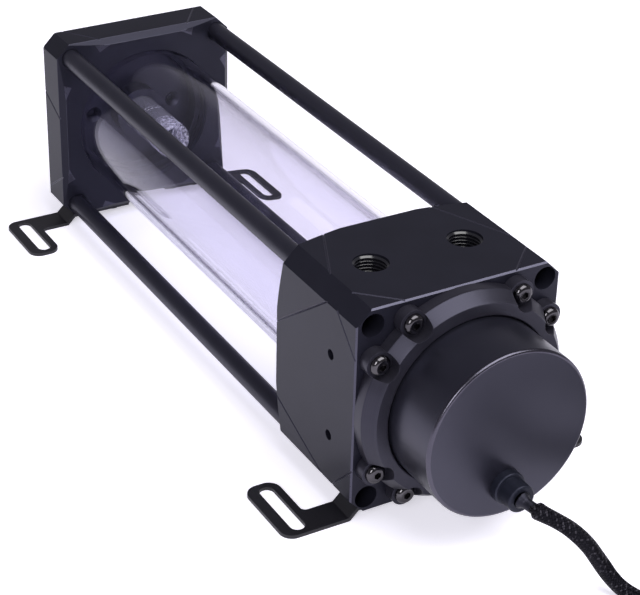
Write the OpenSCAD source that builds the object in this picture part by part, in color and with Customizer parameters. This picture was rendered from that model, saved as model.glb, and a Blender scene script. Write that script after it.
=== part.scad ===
// Coolant pump with tube reservoir: a square pump block and a square rear cap, drawn onto a
// clear tube by four tie rods. A canned-rotor pump is clamped to the block by a lobed ring.
// +X points from the rear cap to the pump, +Z is up, and the origin lies on the standing
// surface, midway between the four foot slots.

/* [Blocks] */
// Width of the 45 degree flats along the four long corners, measured along each side
block_chamfer = 6; // [4:0.5:7]
// Length of the pump block's side faces
front_len = 54.8; // [54:0.2:70]
// Length of the rear cap's side faces
cap_len = 15.7; // [15.5:0.1:22]
// Bevel between the side faces and the tube-side faces
bevel = 2.5; // [1.5:0.25:3]
// Small bevel on the outer end edges
edge_break = 0.6; // [0.4:0.1:1.2]
// Radius outside which the pump block's tube side falls back as a shallow cone
front_cone_r = 38; // [37:0.5:42]
// Fall of that cone for each millimetre of radius
front_cone_slope = 0.39; // [0.1:0.01:0.45]
// Radius outside which the rear cap's tube side falls back as a shallow cone
cap_cone_r = 42.5; // [38:0.5:44]
// Fall of that cone for each millimetre of radius
cap_cone_slope = 0.18; // [0.1:0.02:0.24]
// Width of the shallow lines engraved across the corners
groove_w = 0.9; // [0.5:0.1:1.2]

/* [Reservoir] */
// Length of the clear tube
tube_len = 205.5; // [120:0.5:300]
// Outside diameter of the clear tube
tube_d = 65; // [60:0.5:68]
// Wall of the clear tube
tube_wall = 2.5; // [2:0.25:4]
// Depth of each tube socket
tube_seat = 5.5; // [4.5:0.25:6]
// Radius of the chambers inside the tube ends
chamber_r = 28; // [27.5:0.25:29]
// Depth of the rear cap's chamber, from its tube-side face
cap_chamber = 13; // [11:0.5:14]
// Length of the pump block between its reservoir chamber and its pump side
front_core = 38; // [37:0.5:41]
// Thickness of the O-rings round the tube
tube_seal_d = 2; // [1.6:0.1:2.4]

/* [Tie rods] */
// Diameter of the tie rods
rod_d = 8; // [7:0.25:8.5]
// Distance of the rod centres from the sides of the blocks
rod_in = 6.4; // [5.5:0.1:7]
// Depth of the rod sockets in the pump block, from its tube-side face
rod_seat_front = 10; // [8:0.5:12]
// The same depth in the rear cap
rod_seat_rear = 7; // [5:0.25:7.5]
// Diameter of the screws in the rod ends
rod_screw_d = 5; // [4:0.25:5]
// Diameter of the rod screw heads
rod_head_d = 8.5; // [8:0.25:8.6]
// Height of the rod screw heads
rod_head_h = 5; // [4:0.25:5]
// Wall between a rod socket and the screw head, in the pump block
rod_web_front = 8; // [6:0.5:12]
// The same wall in the rear cap
rod_web_rear = 5.5; // [5:0.1:5.6]
// Length of screw inside a rod
rod_screw_grip = 11; // [8:0.5:14]

/* [Ports] */
// Thread diameter of the ports
port_d = 13.16; // [10:0.02:13.3]
// Depth of the port threads
port_depth = 11; // [9:0.5:13]
// Distance of the top ports behind the pump side
port_back = 27.8; // [27:0.2:29]
// Distance between the top ports
port_pitch = 39; // [37:0.5:41]
// Diameter of the passages behind the ports
duct_d = 9; // [7:0.5:9]
// Height of the lower passages above the tube axis
duct_z = 12; // [11:0.5:13]

/* [Side mounting holes] */
// Diameter of the small mounting and foot screws
small_d = 4; // [3:0.25:4]
// Distance of the side holes behind the pump side
side_back = 16.3; // [15:0.1:18]
// Distance between the two side holes
side_pitch = 33.2; // [30:0.2:36]
// Depth of the side holes
side_depth = 7; // [5:0.5:8]

/* [Clamp ring] */
// Distance of the ring's edge from the sides of the block, which is as wide as the ring needs
ring_inset = 0.2; // [0:0.1:0.8]
// Width of the clamp ring, from the cover's side to the ring's outer edge
ring_w = 8.6; // [8.2:0.1:8.8]
// Thickness of the ring under the screw heads
ring_base = 4.6; // [4:0.2:5.4]
// Full thickness of the ring
ring_h = 9.5; // [8.5:0.25:11]
// Width of the sloping face round the front of the ring
ring_cone = 3.3; // [2.3:0.1:4.3]
// Distance of the ring screws from the cover's side
ring_bolt_in = 8.5; // [8:0.1:8.6]
// Angle of each ring screw from the nearest diagonal
ring_bolt_a = 12.6; // [12:0.1:14]
// Radius of the lobes and of the pockets for the screw heads
lobe_r = 5; // [4.5:0.1:5.2]
// Length of ring screw inside the pump block
ring_grip = 5.4; // [4:0.2:5.8]
// Diameter of the button heads
button_d = 7.6; // [7:0.1:7.8]
// Height of the button heads
button_h = 2.2; // [2:0.1:2.6]

/* [Pump] */
// Outside diameter of the pump cover
cover_d = 65.4; // [64.4:0.2:66]
// Length of the cover in front of the pump side
cover_h = 33.5; // [32.5:0.25:38]
// Wall of the cover
cover_wall = 1.7; // [1.2:0.1:2.2]
// Radius of the cover's front edge
cover_round = 1.2; // [0.6:0.1:1.6]
// Width of the cover's foot under the ring
cover_foot = 3.4; // [2.5:0.1:3.8]
// Thickness of the cover's foot
cover_foot_h = 2.5; // [2:0.1:3]
// How far the pump flange reaches under the cover's wall
flange_lap = 0.5; // [0.2:0.1:0.8]
// Thickness of the pump flange
flange_h = 5; // [4.5:0.25:6]
// Space between the motor can and the cover
can_room = 3.5; // [3:0.1:5]
// Length of the motor can
can_h = 28; // [27:0.5:29]
// Wall of the motor can
can_wall = 1.6; // [1.2:0.1:2]
// Radius of the pump chamber round the impeller
volute_r = 26; // [25.5:0.25:27]
// Depth of the pump chamber behind the pump side
volute_depth = 16; // [15.5:0.25:18]
// Thickness of the pump flange O-ring
pump_seal_d = 2; // [1.6:0.1:2.4]

/* [Rotor and stator] */
// Diameter of the impeller
impeller_d = 38; // [34:0.5:40]
// Height of the impeller
impeller_h = 8; // [6:0.25:8.5]
// Number of impeller vanes
vanes = 7; // [5:1:9]
// Diameter of the impeller's eye
eye_d = 15; // [13:0.5:17]
// Space round the magnet for cup, stator and can wall, to the outside of the can
stator_space = 12.5; // [12:0.25:14.5]
// Length of the magnet inside its cup
magnet_h = 16; // [12:0.5:17]
// Diameter of the fixed shaft that the rotor turns on
shaft_d = 4; // [3:0.25:5]
// Wall of the separating cup between rotor and stator
cup_wall = 0.8; // [0.6:0.1:1]
// Running clearance round the rotor
run_gap = 0.4; // [0.3:0.05:0.6]
// Length of the stator core
core_h = 12; // [8:0.5:14]
// Width of the stator teeth
tooth_w = 6; // [4:0.25:6.5]
// Thickness of the windings round a tooth
winding = 2.2; // [1.5:0.1:2.4]

/* [Riser and fill plug] */
// Outside diameter of the clear riser
riser_d = 16; // [14:0.25:18]
// Bore of the clear riser
riser_bore = 11; // [9:0.25:11.5]
// Length of the riser in front of its seat
riser_len = 33; // [20:1:60]
// Depth of the riser's seat
riser_seat = 4; // [3:0.25:4.5]
// Diameter of the boss that carries the riser
boss_d = 23; // [21:0.5:24]
// Height of that boss above the chamber floor
boss_h = 8; // [7:0.25:8]
// Depth of the fill port
fill_depth = 8; // [7:0.25:8]
// Distance between the two blind holes in the cap's chamber floor
floor_hole_pitch = 39; // [36:0.5:44]
// Diameter of the fill plug's head
plug_d = 18; // [16.5:0.5:22]
// Height of the fill plug's head
plug_h = 4; // [3:0.25:6]

/* [Feet] */
// Thickness of the foot plates
foot_t = 1.5; // [1:0.1:2.5]
// Height of the step from the standing leg up to the block
foot_step = 3.5; // [3:0.25:5]
// Distance of the bend at the foot of that step inside the block's side
foot_bend_in = 2.3; // [1:0.1:3.5]
// Place of the foot's inner end, measured sideways from the middle
foot_inner = 9; // [6:0.5:10]
// Length of the slotted leg
leg_len = 33; // [31:0.5:40]
// Width of the slotted leg
leg_w = 13.2; // [12:0.2:15]
// Width of the arm between leg and block
arm_w = 11.7; // [10:0.1:13]
// Distance of the arm's outer edge from the block's end face
arm_inset = 3.2; // [2.6:0.1:3.6]
// Distance of the slotted legs from the block's sides
leg_out = 10.4; // [8:0.2:14]
// Width of the slots
slot_w = 5.6; // [4.5:0.1:6]
// Length of the slots, end to end
slot_len = 28; // [22:0.5:28]
// Distance of the slot from the inner edge of its leg
slot_margin = 3.1; // [2.8:0.1:3.6]
// Corner radius of the legs
leg_round = 5; // [3:0.25:5.5]
// Places of the two screws of each foot, measured sideways from the middle
foot_screw_y = [27, 15];
// Length of foot screw inside the block
foot_grip = 4.4; // [3.5:0.1:4.6]

/* [Cable] */
// Diameter of the sleeved cable
cable_d = 6; // [5.6:0.1:6]
// Distance of the cable outlet from the cover's side
outlet_in = 12.4; // [12.1:0.1:12.8]
// Diameter of the grommet's flange
grommet_d = 12.6; // [12:0.2:14]
// Diameter of the grommet's nose
nose_d = 10.6; // [9:0.2:11]
// Length of the grommet in front of the cover
grommet_h = 10; // [7:0.25:10.5]

/* [Hidden] */

fine = 96;
mid = 48;
past = 1;

// Named clearances
seat_clear = 0.15;
screw_clear = 0.2;
thread_clear = 0.05;
groove_clear = 0.2;
cover_clear = 0.3;

cover_r = cover_d / 2;
cover_inner = cover_r - cover_wall;
ring_r = cover_r + ring_w;
ring_bolt_r = cover_r + ring_bolt_in;
half = ring_r + ring_inset;
block_w = 2 * half;
tube_gap = tube_len - 2 * tube_seat;
overall = front_len + cap_len + 2 * bevel + tube_gap;
x_front = overall / 2;
x_back = -overall / 2;
x_block_face = x_front - front_len - bevel;
x_cap_face = x_back + cap_len + bevel;
axis_h = half + foot_t + foot_step;
rod_at = half - rod_in;
foot_bend = half - foot_bend_in;
leg_y = half + leg_out;
tube_r = tube_d / 2;
port_at = port_pitch / 2;
plug_neck_r = port_d / 2 - 1;
flange_d = 2 * (cover_inner + flange_lap);
can_d = 2 * (cover_inner - can_room);
outlet_drop = cover_r - outlet_in;
x_flange = x_front - flange_h;
x_flange_seat = x_flange - cup_wall;
x_cover = x_front + cover_h;
magnet_r = can_d / 2 - stator_space;
cup_r = magnet_r + run_gap;
x_cup_end = x_flange + magnet_h + run_gap;
x_impeller = x_flange_seat - run_gap;
x_floor = x_cap_face - cap_chamber;
foot_mid = arm_inset + arm_w / 2;
seal_at = 1.3;
screw_spare = 0.6;
grommet_neck = 8.8;
socket_h = 2.8;

black = "#2b2a31";
satin = "#3b3a42";
steel = "#1d1c20";

// How the shallow lines run: [turn of the face, side, from [back, in], to [back, in]], where
// back counts from the block's outer end and in counts from the neighbouring face
BLOCK_LINES = [
    for (face = [0:3], side = [-1, 1]) [face, side, [0, 19], [12.6, block_chamfer]],
    [0, 1, [21.5, block_chamfer], [front_len, 20]],
    [0, -1, [28.6, block_chamfer], [front_len, 18.3]],
    for (face = [1, 3], side = [-1, 1])
        [face, side, [20.3, block_chamfer], [front_len, face + side == 2 ? 31.8 : 20]],
    for (side = [-1, 1]) [2, side, [25, block_chamfer], [front_len, 20]]
];
CAP_LINES = [
    for (face = [0:3], side = [-1, 1])
        face % 2 == 1 && face + side == 2 ? [face, side, [0, 26.3], [cap_len, 33.7]]
                                          : [face, side, [0, 9], [cap_len, 20]]
];

// The lead from the grommet to its coil: distance in front of the pump side, sideways, height
LEAD_ROUTE = [
    [36.5, 0, 26.2], [43.5, 0, 26.2], [47.6, 1.1, 25.5], [51, 3, 24.5], [55, 5.7, 23.4],
    [59, 8.4, 21.9], [62.5, 10.8, 19.6], [65.2, 13, 16.6], [67.2, 15, 13], [69.2, 16.8, 9.5],
    [72, 18.4, 6.3], [75.8, 19.9, 4.1], [80.5, 21.7, 3.1], [87, 24.6, 3], [95.5, 28.7, 3.1],
    [105, 33.6, 3.5], [114, 38.4, 3.8]
];
// The lead's end from the coil to its connector: from the coil's middle, height
TAIL_ROUTE = [
    [-21, -21.5, 3.8], [-12.5, -25.4, 3.8], [-3.8, -26.7, 3.7], [4.5, -25.2, 3.5],
    [11.5, -21.2, 3.3], [16.3, -15.2, 3.1], [18.5, -7.8, 3], [18, 0, 3], [14.8, 6.7, 3],
    [9.5, 11.3, 3], [3.5, 14, 3]
];
COIL_AT = [97, 70.3];
coil_r = 33;
coil_turns = 2;
tie_t = 0.8;
tie_w = 3.6;

// A cylinder along X, at a side and height measured from the tube axis
module along_x(r, x0, x1, y = 0, z = 0) {
    translate([x0, y, axis_h + z]) rotate([0, 90, 0]) cylinder(r = r, h = x1 - x0, $fn = fine);
}

// A profile of [radius, x] points turned round the tube axis or one beside it
module turned(points, y = 0, z = 0, sides = fine) {
    translate([0, y, axis_h + z]) rotate([0, 90, 0]) rotate_extrude($fn = sides) polygon(points);
}

// An O-ring round an axis along X
module o_ring(centre_r, thickness, x, y = 0, z = 0) {
    translate([x, y, axis_h + z]) rotate([0, 90, 0])
        rotate_extrude($fn = fine) translate([centre_r, 0]) circle(d = thickness, $fn = 24);
}

module at_rods() {
    for (side = [-1, 1], up = [-1, 1]) translate([0, side * rod_at, up * rod_at]) children();
}

module at_ring_screws() {
    for (corner = [45:90:315], turn = [-1, 1])
        let (a = corner + turn * ring_bolt_a)
            translate([0, ring_bolt_r * cos(a), ring_bolt_r * sin(a)]) children();
}

// ---- Blocks ----

// Side view of a block from its outer end to its tube-side face, bevelled at both ends
function block_profile(len) = [
    [0, -half + edge_break], [edge_break, -half], [len, -half], [len + bevel, -half + bevel],
    [len + bevel, half - bevel], [len, half], [edge_break, half], [0, half - edge_break]
];

// Octagonal block with its outer end at x = 0 and its tube-side face towards +X
module block_body(len, cone_r, slope) {
    reach = len + bevel;
    c = block_chamfer;
    corner_r = norm([half, half]);
    intersection() {
        rotate([90, 0, 90]) linear_extrude(reach) polygon([
            [-half + c, -half], [half - c, -half], [half, -half + c], [half, half - c],
            [half - c, half], [-half + c, half], [-half, half - c], [-half, -half + c]
        ]);
        translate([0, half, 0]) rotate([90, 0, 0]) linear_extrude(block_w)
            polygon(block_profile(len));
        translate([0, 0, -half]) linear_extrude(block_w) polygon(block_profile(len));
        rotate([0, 90, 0]) rotate_extrude($fn = fine) polygon([
            [0, 0], [corner_r, 0], [corner_r, reach - (corner_r - cone_r) * slope],
            [cone_r, reach], [0, reach]
        ]);
    }
}

// The shallow V lines of a block whose outer end lies at x = 0
module corner_lines(lines) {
    side_of_v = groove_w / sqrt(2);
    for (line = lines) {
        from = [line[2][0], line[1] * (half - line[2][1])];
        to = [line[3][0], line[1] * (half - line[3][1])];
        run = to - from;
        rotate([90 * line[0], 0, 0]) translate([from[0], from[1], half])
            rotate([0, 0, atan2(run[1], run[0])]) rotate([45, 0, 0])
                translate([-past, -side_of_v / 2, -side_of_v / 2])
                    cube([norm(run) + 2 * past, side_of_v, side_of_v]);
    }
}

// Screw holes of the two feet under a block, whose outer end lies at x_end
module foot_holes(x_end, inward) {
    for (side = [-1, 1], y = foot_screw_y)
        translate([x_end + inward * foot_mid, side * y, axis_h - half - past])
            cylinder(r = small_d / 2 + thread_clear,
                     h = past + foot_grip + screw_spare, $fn = mid);
}

module pump_block() {
    inlet_r = 9;
    seal_r = tube_r + tube_seal_d + seat_clear;
    x_chamber = x_front - front_core;
    x_volute = x_front - volute_depth;
    ring_mid = (flange_d / 2 + volute_r) / 2;
    ring_half = pump_seal_d / 2 + thread_clear;
    color(black) difference() {
        translate([x_front, 0, axis_h]) mirror([1, 0, 0]) difference() {
            block_body(front_len, front_cone_r, front_cone_slope);
            corner_lines(BLOCK_LINES);
        }
        // Tube socket, its seal groove and the reservoir chamber
        along_x(tube_r + seat_clear, x_block_face - past, x_block_face + tube_seat);
        along_x(seal_r, x_block_face + seal_at,
                x_block_face + seal_at + tube_seal_d + groove_clear);
        along_x(chamber_r, x_block_face - past, x_chamber);
        // Inlet to the impeller, pump chamber and flange seat
        along_x(inlet_r, x_chamber - past, x_volute + past);
        along_x(volute_r, x_volute, x_front + past);
        along_x(flange_d / 2 + seat_clear, x_flange_seat, x_front + past);
        // Groove of the flange seal
        turned([
            [ring_mid - ring_half, x_flange_seat - pump_seal_d], [ring_mid + ring_half,
             x_flange_seat - pump_seal_d], [ring_mid + ring_half, x_flange_seat + past],
            [ring_mid - ring_half, x_flange_seat + past]
        ]);
        // Passages from the pump chamber and from the reservoir to the top ports
        along_x(duct_d / 2, x_front - port_back, x_volute + past, -port_at, duct_z);
        along_x(duct_d / 2, x_chamber - past, x_front - port_back, port_at, duct_z);
        for (side = [-1, 1]) translate([x_front - port_back, side * port_at, axis_h]) {
            translate([0, 0, duct_z]) cylinder(d = duct_d, h = half - duct_z, $fn = mid);
            translate([0, 0, half - port_depth])
                cylinder(d = port_d, h = port_depth + past, $fn = fine);
        }
        // Small mounting holes of the left face
        for (up = [-1, 1])
            translate([x_front - side_back, -half - past, axis_h + up * side_pitch / 2])
                rotate([-90, 0, 0]) cylinder(d = small_d, h = side_depth + past, $fn = mid);
        at_rods() {
            along_x(rod_d / 2 + seat_clear, x_block_face - past, x_block_face + rod_seat_front);
            along_x(rod_screw_d / 2 + screw_clear, x_block_face, x_front);
            along_x(rod_head_d / 2 + screw_clear,
                    x_block_face + rod_seat_front + rod_web_front, x_front + past);
        }
        at_ring_screws() along_x(small_d / 2 + thread_clear,
                                 x_front - ring_grip - screw_spare, x_front + past);
        foot_holes(x_front, -1);
    }
}

module rear_cap() {
    seal_r = tube_r + tube_seal_d + seat_clear;
    hole_r = 1.7;
    mouth_r = 3.6;
    hole_depth = 3.5;
    color(black) difference() {
        union() {
            difference() {
                translate([x_back, 0, axis_h]) difference() {
                    block_body(cap_len, cap_cone_r, cap_cone_slope);
                    corner_lines(CAP_LINES);
                }
                along_x(tube_r + seat_clear, x_cap_face - tube_seat, x_cap_face + past);
                along_x(seal_r, x_cap_face - seal_at - tube_seal_d - groove_clear,
                        x_cap_face - seal_at);
                along_x(chamber_r, x_floor, x_cap_face + past);
            }
            along_x(boss_d / 2, x_floor - past, x_floor + boss_h);
        }
        // Fill port, the passage through it and the riser's seat
        along_x(port_d / 2, x_back - past, x_back + fill_depth);
        along_x(riser_bore / 2, x_back, x_floor + boss_h + past);
        along_x(riser_d / 2 + seat_clear, x_floor + boss_h - riser_seat,
                x_floor + boss_h + past);
        // Two countersunk blind holes in the chamber floor
        for (side = [-1, 1]) {
            y = side * floor_hole_pitch / 2;
            along_x(hole_r, x_floor - hole_depth, x_floor + past, y);
            turned([[0, x_floor - mouth_r + hole_r], [hole_r, x_floor - mouth_r + hole_r],
                    [mouth_r, x_floor], [mouth_r, x_floor + past], [0, x_floor + past]], y);
        }
        at_rods() {
            along_x(rod_d / 2 + seat_clear, x_cap_face - rod_seat_rear, x_cap_face + past);
            along_x(rod_screw_d / 2 + screw_clear, x_back, x_cap_face);
            along_x(rod_head_d / 2 + screw_clear, x_back - past,
                    x_cap_face - rod_seat_rear - rod_web_rear);
        }
        foot_holes(x_back, 1);
    }
}

// ---- Reservoir ----

module reservoir_tube() {
    color("#e2e0ee", 0.35) difference() {
        along_x(tube_r, x_cap_face - tube_seat, x_block_face + tube_seat);
        along_x(tube_r - tube_wall, x_cap_face - tube_seat - past,
                x_block_face + tube_seat + past);
    }
}

module tube_seal_front() {
    color(steel) o_ring(tube_r + tube_seal_d / 2 + thread_clear, tube_seal_d,
                        x_block_face + seal_at + (tube_seal_d + groove_clear) / 2);
}

module tube_seal_rear() {
    color(steel) o_ring(tube_r + tube_seal_d / 2 + thread_clear, tube_seal_d,
                        x_cap_face - seal_at - (tube_seal_d + groove_clear) / 2);
}

module tie_rod(side, up) {
    x0 = x_cap_face - rod_seat_rear;
    x1 = x_block_face + rod_seat_front;
    color(satin) translate([0, side * rod_at, up * rod_at]) difference() {
        along_x(rod_d / 2, x0, x1);
        along_x(rod_screw_d / 2 + thread_clear, x0 - past, x0 + rod_screw_grip + past);
        along_x(rod_screw_d / 2 + thread_clear, x1 - rod_screw_grip - past, x1 + past);
    }
}

module tie_rod_upper_left() { tie_rod(-1, 1); }
module tie_rod_upper_right() { tie_rod(1, 1); }
module tie_rod_lower_left() { tie_rod(-1, -1); }
module tie_rod_lower_right() { tie_rod(1, -1); }

// Socket head screw along X: head from x_seat on the `dir` side, shank the other way
module rod_screw(x_seat, dir, shank) {
    hex = 4;
    hex_depth = 2.5;
    x_head = x_seat + dir * rod_head_h;
    difference() {
        union() {
            along_x(rod_head_d / 2, min(x_seat, x_head), max(x_seat, x_head));
            along_x(rod_screw_d / 2, min(x_seat, x_seat - dir * shank),
                    max(x_seat, x_seat - dir * shank));
        }
        translate([x_head, 0, axis_h]) rotate([0, 90, 0])
            cylinder(d = hex / cos(30), h = 2 * hex_depth, center = true, $fn = 6);
    }
}

module rod_screws_front() {
    color(steel) at_rods() rod_screw(x_block_face + rod_seat_front + rod_web_front, 1,
                                     rod_web_front + rod_screw_grip);
}

module rod_screws_rear() {
    color(steel) at_rods() rod_screw(x_cap_face - rod_seat_rear - rod_web_rear, -1,
                                     rod_web_rear + rod_screw_grip);
}

module riser_tube() {
    x0 = x_floor + boss_h - riser_seat;
    color("#e8e6f2", 0.5) difference() {
        along_x(riser_d / 2, x0, x0 + riser_seat + riser_len);
        along_x(riser_bore / 2, x0 - past, x0 + riser_seat + riser_len + past);
    }
}

module fill_plug() {
    hex = 6;
    hex_depth = 4.5;
    stem = fill_depth - 1;
    soft = 0.6;
    rim = 2;
    groove = 1.2;
    r = plug_d / 2;
    thread_r = port_d / 2 - thread_clear;
    color(satin) difference() {
        turned([
            [0, x_back - plug_h], [r - soft, x_back - plug_h], [r, x_back - plug_h + soft],
            [r, x_back], [r - rim, x_back], [r - rim, x_back - groove],
            [plug_neck_r, x_back - groove], [plug_neck_r, x_back + groove - seat_clear],
            [thread_r, x_back + groove + soft - seat_clear], [thread_r, x_back + stem - soft],
            [thread_r - soft, x_back + stem], [0, x_back + stem]
        ]);
        translate([x_back - plug_h, 0, axis_h]) rotate([0, 90, 0])
            cylinder(d = hex / cos(30), h = 2 * hex_depth, center = true, $fn = 6);
    }
}

module fill_plug_seal() {
    seal = 1.1;
    snug = 0.02;
    color(steel) o_ring(plug_neck_r + seal / 2 + snug, seal, x_back - seal / 2 - snug);
}

// ---- Clamp ring and cover ----

module clamp_ring() {
    bore = cover_r + cover_clear;
    foot_r = cover_r + cover_foot + cover_clear;
    soft = 0.5;
    color(satin) difference() {
        union() {
            turned([
                [bore, x_front], [ring_r, x_front], [ring_r, x_front + ring_base],
                [ring_r - ring_cone, x_front + ring_h], [bore + soft, x_front + ring_h],
                [bore, x_front + ring_h - soft]
            ]);
            at_ring_screws() along_x(lobe_r, x_front, x_front + ring_base);
        }
        at_ring_screws() {
            along_x(small_d / 2 + screw_clear, x_front - past, x_front + ring_h);
            along_x(lobe_r, x_front + ring_base, x_front + ring_h + past);
        }
        along_x(foot_r, x_front - past, x_front + cover_foot_h);
    }
}

// Points of a quarter circle in a [radius, height] plane, from its side to its top
function quarter(centre, r, steps) =
    [for (i = [0:steps]) centre + r * [cos(90 * i / steps), sin(90 * i / steps)]];

// Button head screw along +Z, with its head seated at z = 0
module button_screw(shank) {
    r = button_d / 2;
    flat_r = 0.5 * r;
    rim = 0.2 * button_h;
    steps = 5;
    hex = 2.5;
    hex_depth = 1.4;
    difference() {
        union() {
            rotate_extrude($fn = mid) polygon(concat(
                [[0, 0], [r, 0]],
                [for (i = [0:steps]) let (a = 90 * i / steps)
                    [flat_r + (r - flat_r) * cos(a), rim + (button_h - rim) * sin(a)]],
                [[0, button_h]]
            ));
            translate([0, 0, -shank]) cylinder(d = small_d, h = shank, $fn = mid);
        }
        translate([0, 0, button_h])
            cylinder(d = hex / cos(30), h = 2 * hex_depth, center = true, $fn = 6);
    }
}

module ring_screws() {
    color(steel) at_ring_screws() translate([x_front + ring_base, 0, axis_h])
        rotate([0, 90, 0]) button_screw(ring_base + ring_grip);
}

module pump_cover() {
    r = cover_r;
    inner = cover_inner;
    foot_r = r + cover_foot;
    color(satin) difference() {
        turned(concat(
            [[inner, x_front], [foot_r, x_front], [foot_r, x_front + cover_foot_h],
             [r, x_front + cover_foot_h]],
            quarter([r - cover_round, x_cover - cover_round], cover_round, 6),
            [[0, x_cover], [0, x_cover - cover_wall], [inner, x_cover - cover_wall]]
        ));
        along_x(grommet_neck / 2 + screw_clear, x_cover - cover_wall - past, x_cover + past,
                z = -outlet_drop);
    }
}

// ---- Pump ----

module motor_housing() {
    r = can_d / 2;
    inner = r - can_wall;
    lip = cup_r + cup_wall + seat_clear;
    hub = lip + 2;
    hub_h = 2;
    color(steel) turned([
        [lip, x_flange], [flange_d / 2, x_flange], [flange_d / 2, x_front], [r, x_front],
        [r, x_front + can_h], [inner, x_front + can_h], [inner, x_front], [hub, x_front],
        [hub, x_flange + hub_h], [lip, x_flange + hub_h]
    ]);
}

module pump_seal() {
    color("#3a3a3a") o_ring((flange_d / 2 + volute_r) / 2, pump_seal_d,
                            x_flange_seat - pump_seal_d / 2);
}

// Thin cup between the wet rotor and the dry stator, with the shaft's boss on its end
module separator_cup() {
    outer = cup_r + cup_wall;
    corner = 2.2;
    boss_r = shaft_d / 2 + 2;
    color("#b9bbc2") turned(concat(
        [[flange_d / 2, x_flange_seat], [flange_d / 2, x_flange], [outer, x_flange]],
        quarter([outer - corner - cup_wall, x_cup_end - corner], corner + cup_wall, 5),
        [[boss_r, x_cup_end + cup_wall], [boss_r, x_cup_end + socket_h + cup_wall],
         [0, x_cup_end + socket_h + cup_wall], [0, x_cup_end + socket_h],
         [shaft_d / 2 + thread_clear, x_cup_end + socket_h],
         [shaft_d / 2 + thread_clear, x_cup_end]],
        [for (i = [5:-1:0]) let (a = 90 * i / 5)
            [cup_r - corner + corner * cos(a), x_cup_end - corner + corner * sin(a)]],
        [[cup_r, x_flange_seat]]
    ));
}

module bearing_post() {
    color("#d8d4c8") along_x(shaft_d / 2, x_impeller - 0.75 * impeller_h, x_cup_end + socket_h);
}

module magnet_rotor() {
    bore = shaft_d / 2 + thread_clear;
    edge = 2;
    x_end = x_flange + magnet_h;
    color("#4a4643") turned([
        [bore, x_impeller], [magnet_r, x_impeller], [magnet_r, x_end - edge],
        [magnet_r - edge, x_end], [bore, x_end]
    ]);
}

// One backswept vane as a band of even width, from the eye to the rim
function vane_edge(shift, steps, r0, r1) = [
    for (i = [0:steps]) let (t = i / steps, r = r0 + (r1 - r0) * t, a = -62 * t)
        r * [cos(a), sin(a)] + shift * [cos(a + 58), sin(a + 58)]
];

module impeller() {
    bore = shaft_d / 2 + thread_clear;
    r = impeller_d / 2;
    hub_r = bore + 2.4;
    back = 1.4;
    front = 1.2;
    vane_t = 1.4;
    sink = 0.2;
    steps = 8;
    x_nose = x_impeller - impeller_h;
    color("#c9c7c0") difference() {
        union() {
            along_x(r, x_impeller - back, x_impeller);
            along_x(hub_r, x_nose, x_impeller);
            turned([[eye_d / 2, x_nose], [r, x_nose + front / 2], [r, x_nose + front],
                    [eye_d / 2, x_nose + front]]);
            translate([x_nose + front - sink, 0, axis_h]) rotate([0, 90, 0])
                for (i = [1:vanes]) rotate([0, 0, 360 * i / vanes])
                    linear_extrude(impeller_h - front - back + 2 * sink) polygon(concat(
                        vane_edge(vane_t / 2, steps, eye_d / 2 - 1, r - 1),
                        [for (i = [steps:-1:0])
                            vane_edge(-vane_t / 2, steps, eye_d / 2 - 1, r - 1)[i]]
                    ));
        }
        along_x(bore, x_nose - past, x_impeller + past);
    }
}

stator_r = can_d / 2 - can_wall - seat_clear;
stator_bore = cup_r + cup_wall + seat_clear;
slot_r0 = stator_bore + 1.3;
slot_r1 = stator_r - 3.6;
x_stator = x_front + 4;
poles = 6;

module stator_core() {
    gap = 2;
    color("#6d7076") translate([x_stator, 0, axis_h]) rotate([0, 90, 0])
        linear_extrude(core_h) difference() {
            circle(r = stator_r, $fn = fine);
            circle(r = stator_bore, $fn = fine);
            difference() {
                circle(r = slot_r1, $fn = fine);
                circle(r = slot_r0, $fn = fine);
                for (i = [1:poles]) rotate(360 * i / poles)
                    translate([0, -tooth_w / 2]) square([stator_r, tooth_w]);
            }
            for (i = [1:poles]) rotate(360 * (i + 0.5) / poles)
                translate([0, -gap / 2]) square([slot_r0 + past, gap]);
        }
}

module stator_coils() {
    room = 0.1;
    from = norm([slot_r0, tooth_w / 2 + winding + room]) + room;
    to = slot_r1 - 0.7;
    wide = tooth_w + 2 * room;
    tall = core_h + 2 * room;
    color("#b5651d") translate([x_stator + core_h / 2, 0, axis_h])
        for (i = [1:poles]) rotate([360 * i / poles, 0, 0]) translate([0, 0, from - slot_r0])
            difference() {
                translate([-tall / 2 - winding, -wide / 2 - winding, slot_r0])
                    cube([tall + 2 * winding, wide + 2 * winding, to - from]);
                translate([-tall / 2, -wide / 2, slot_r0 - past])
                    cube([tall, wide, to - from + 2 * past]);
            }
}

module circuit_board() {
    board_t = 1.6;
    board_r = cover_inner - 1.5;
    chip_h = 1.5;
    can_r = 2.5;
    can_y = board_r / 2;
    x0 = x_front + can_h;
    color("#1f5c3a") union() {
        along_x(board_r, x0, x0 + board_t);
        // Controller, driver, hall sensor and two capacitors
        for (chip = [[-6, 4, 7, 7], [6, 5, 5, 6], [-3, -8, 3, 3]])
            translate([x0 + board_t - past, chip[0], axis_h + chip[1]])
                cube([past + chip_h, chip[2], chip[3]]);
        for (y = [-can_y, can_y])
            along_x(can_r, x0 + board_t - past, x0 + board_t + chip_h, y, can_y);
    }
}

// ---- Cable ----

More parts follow.
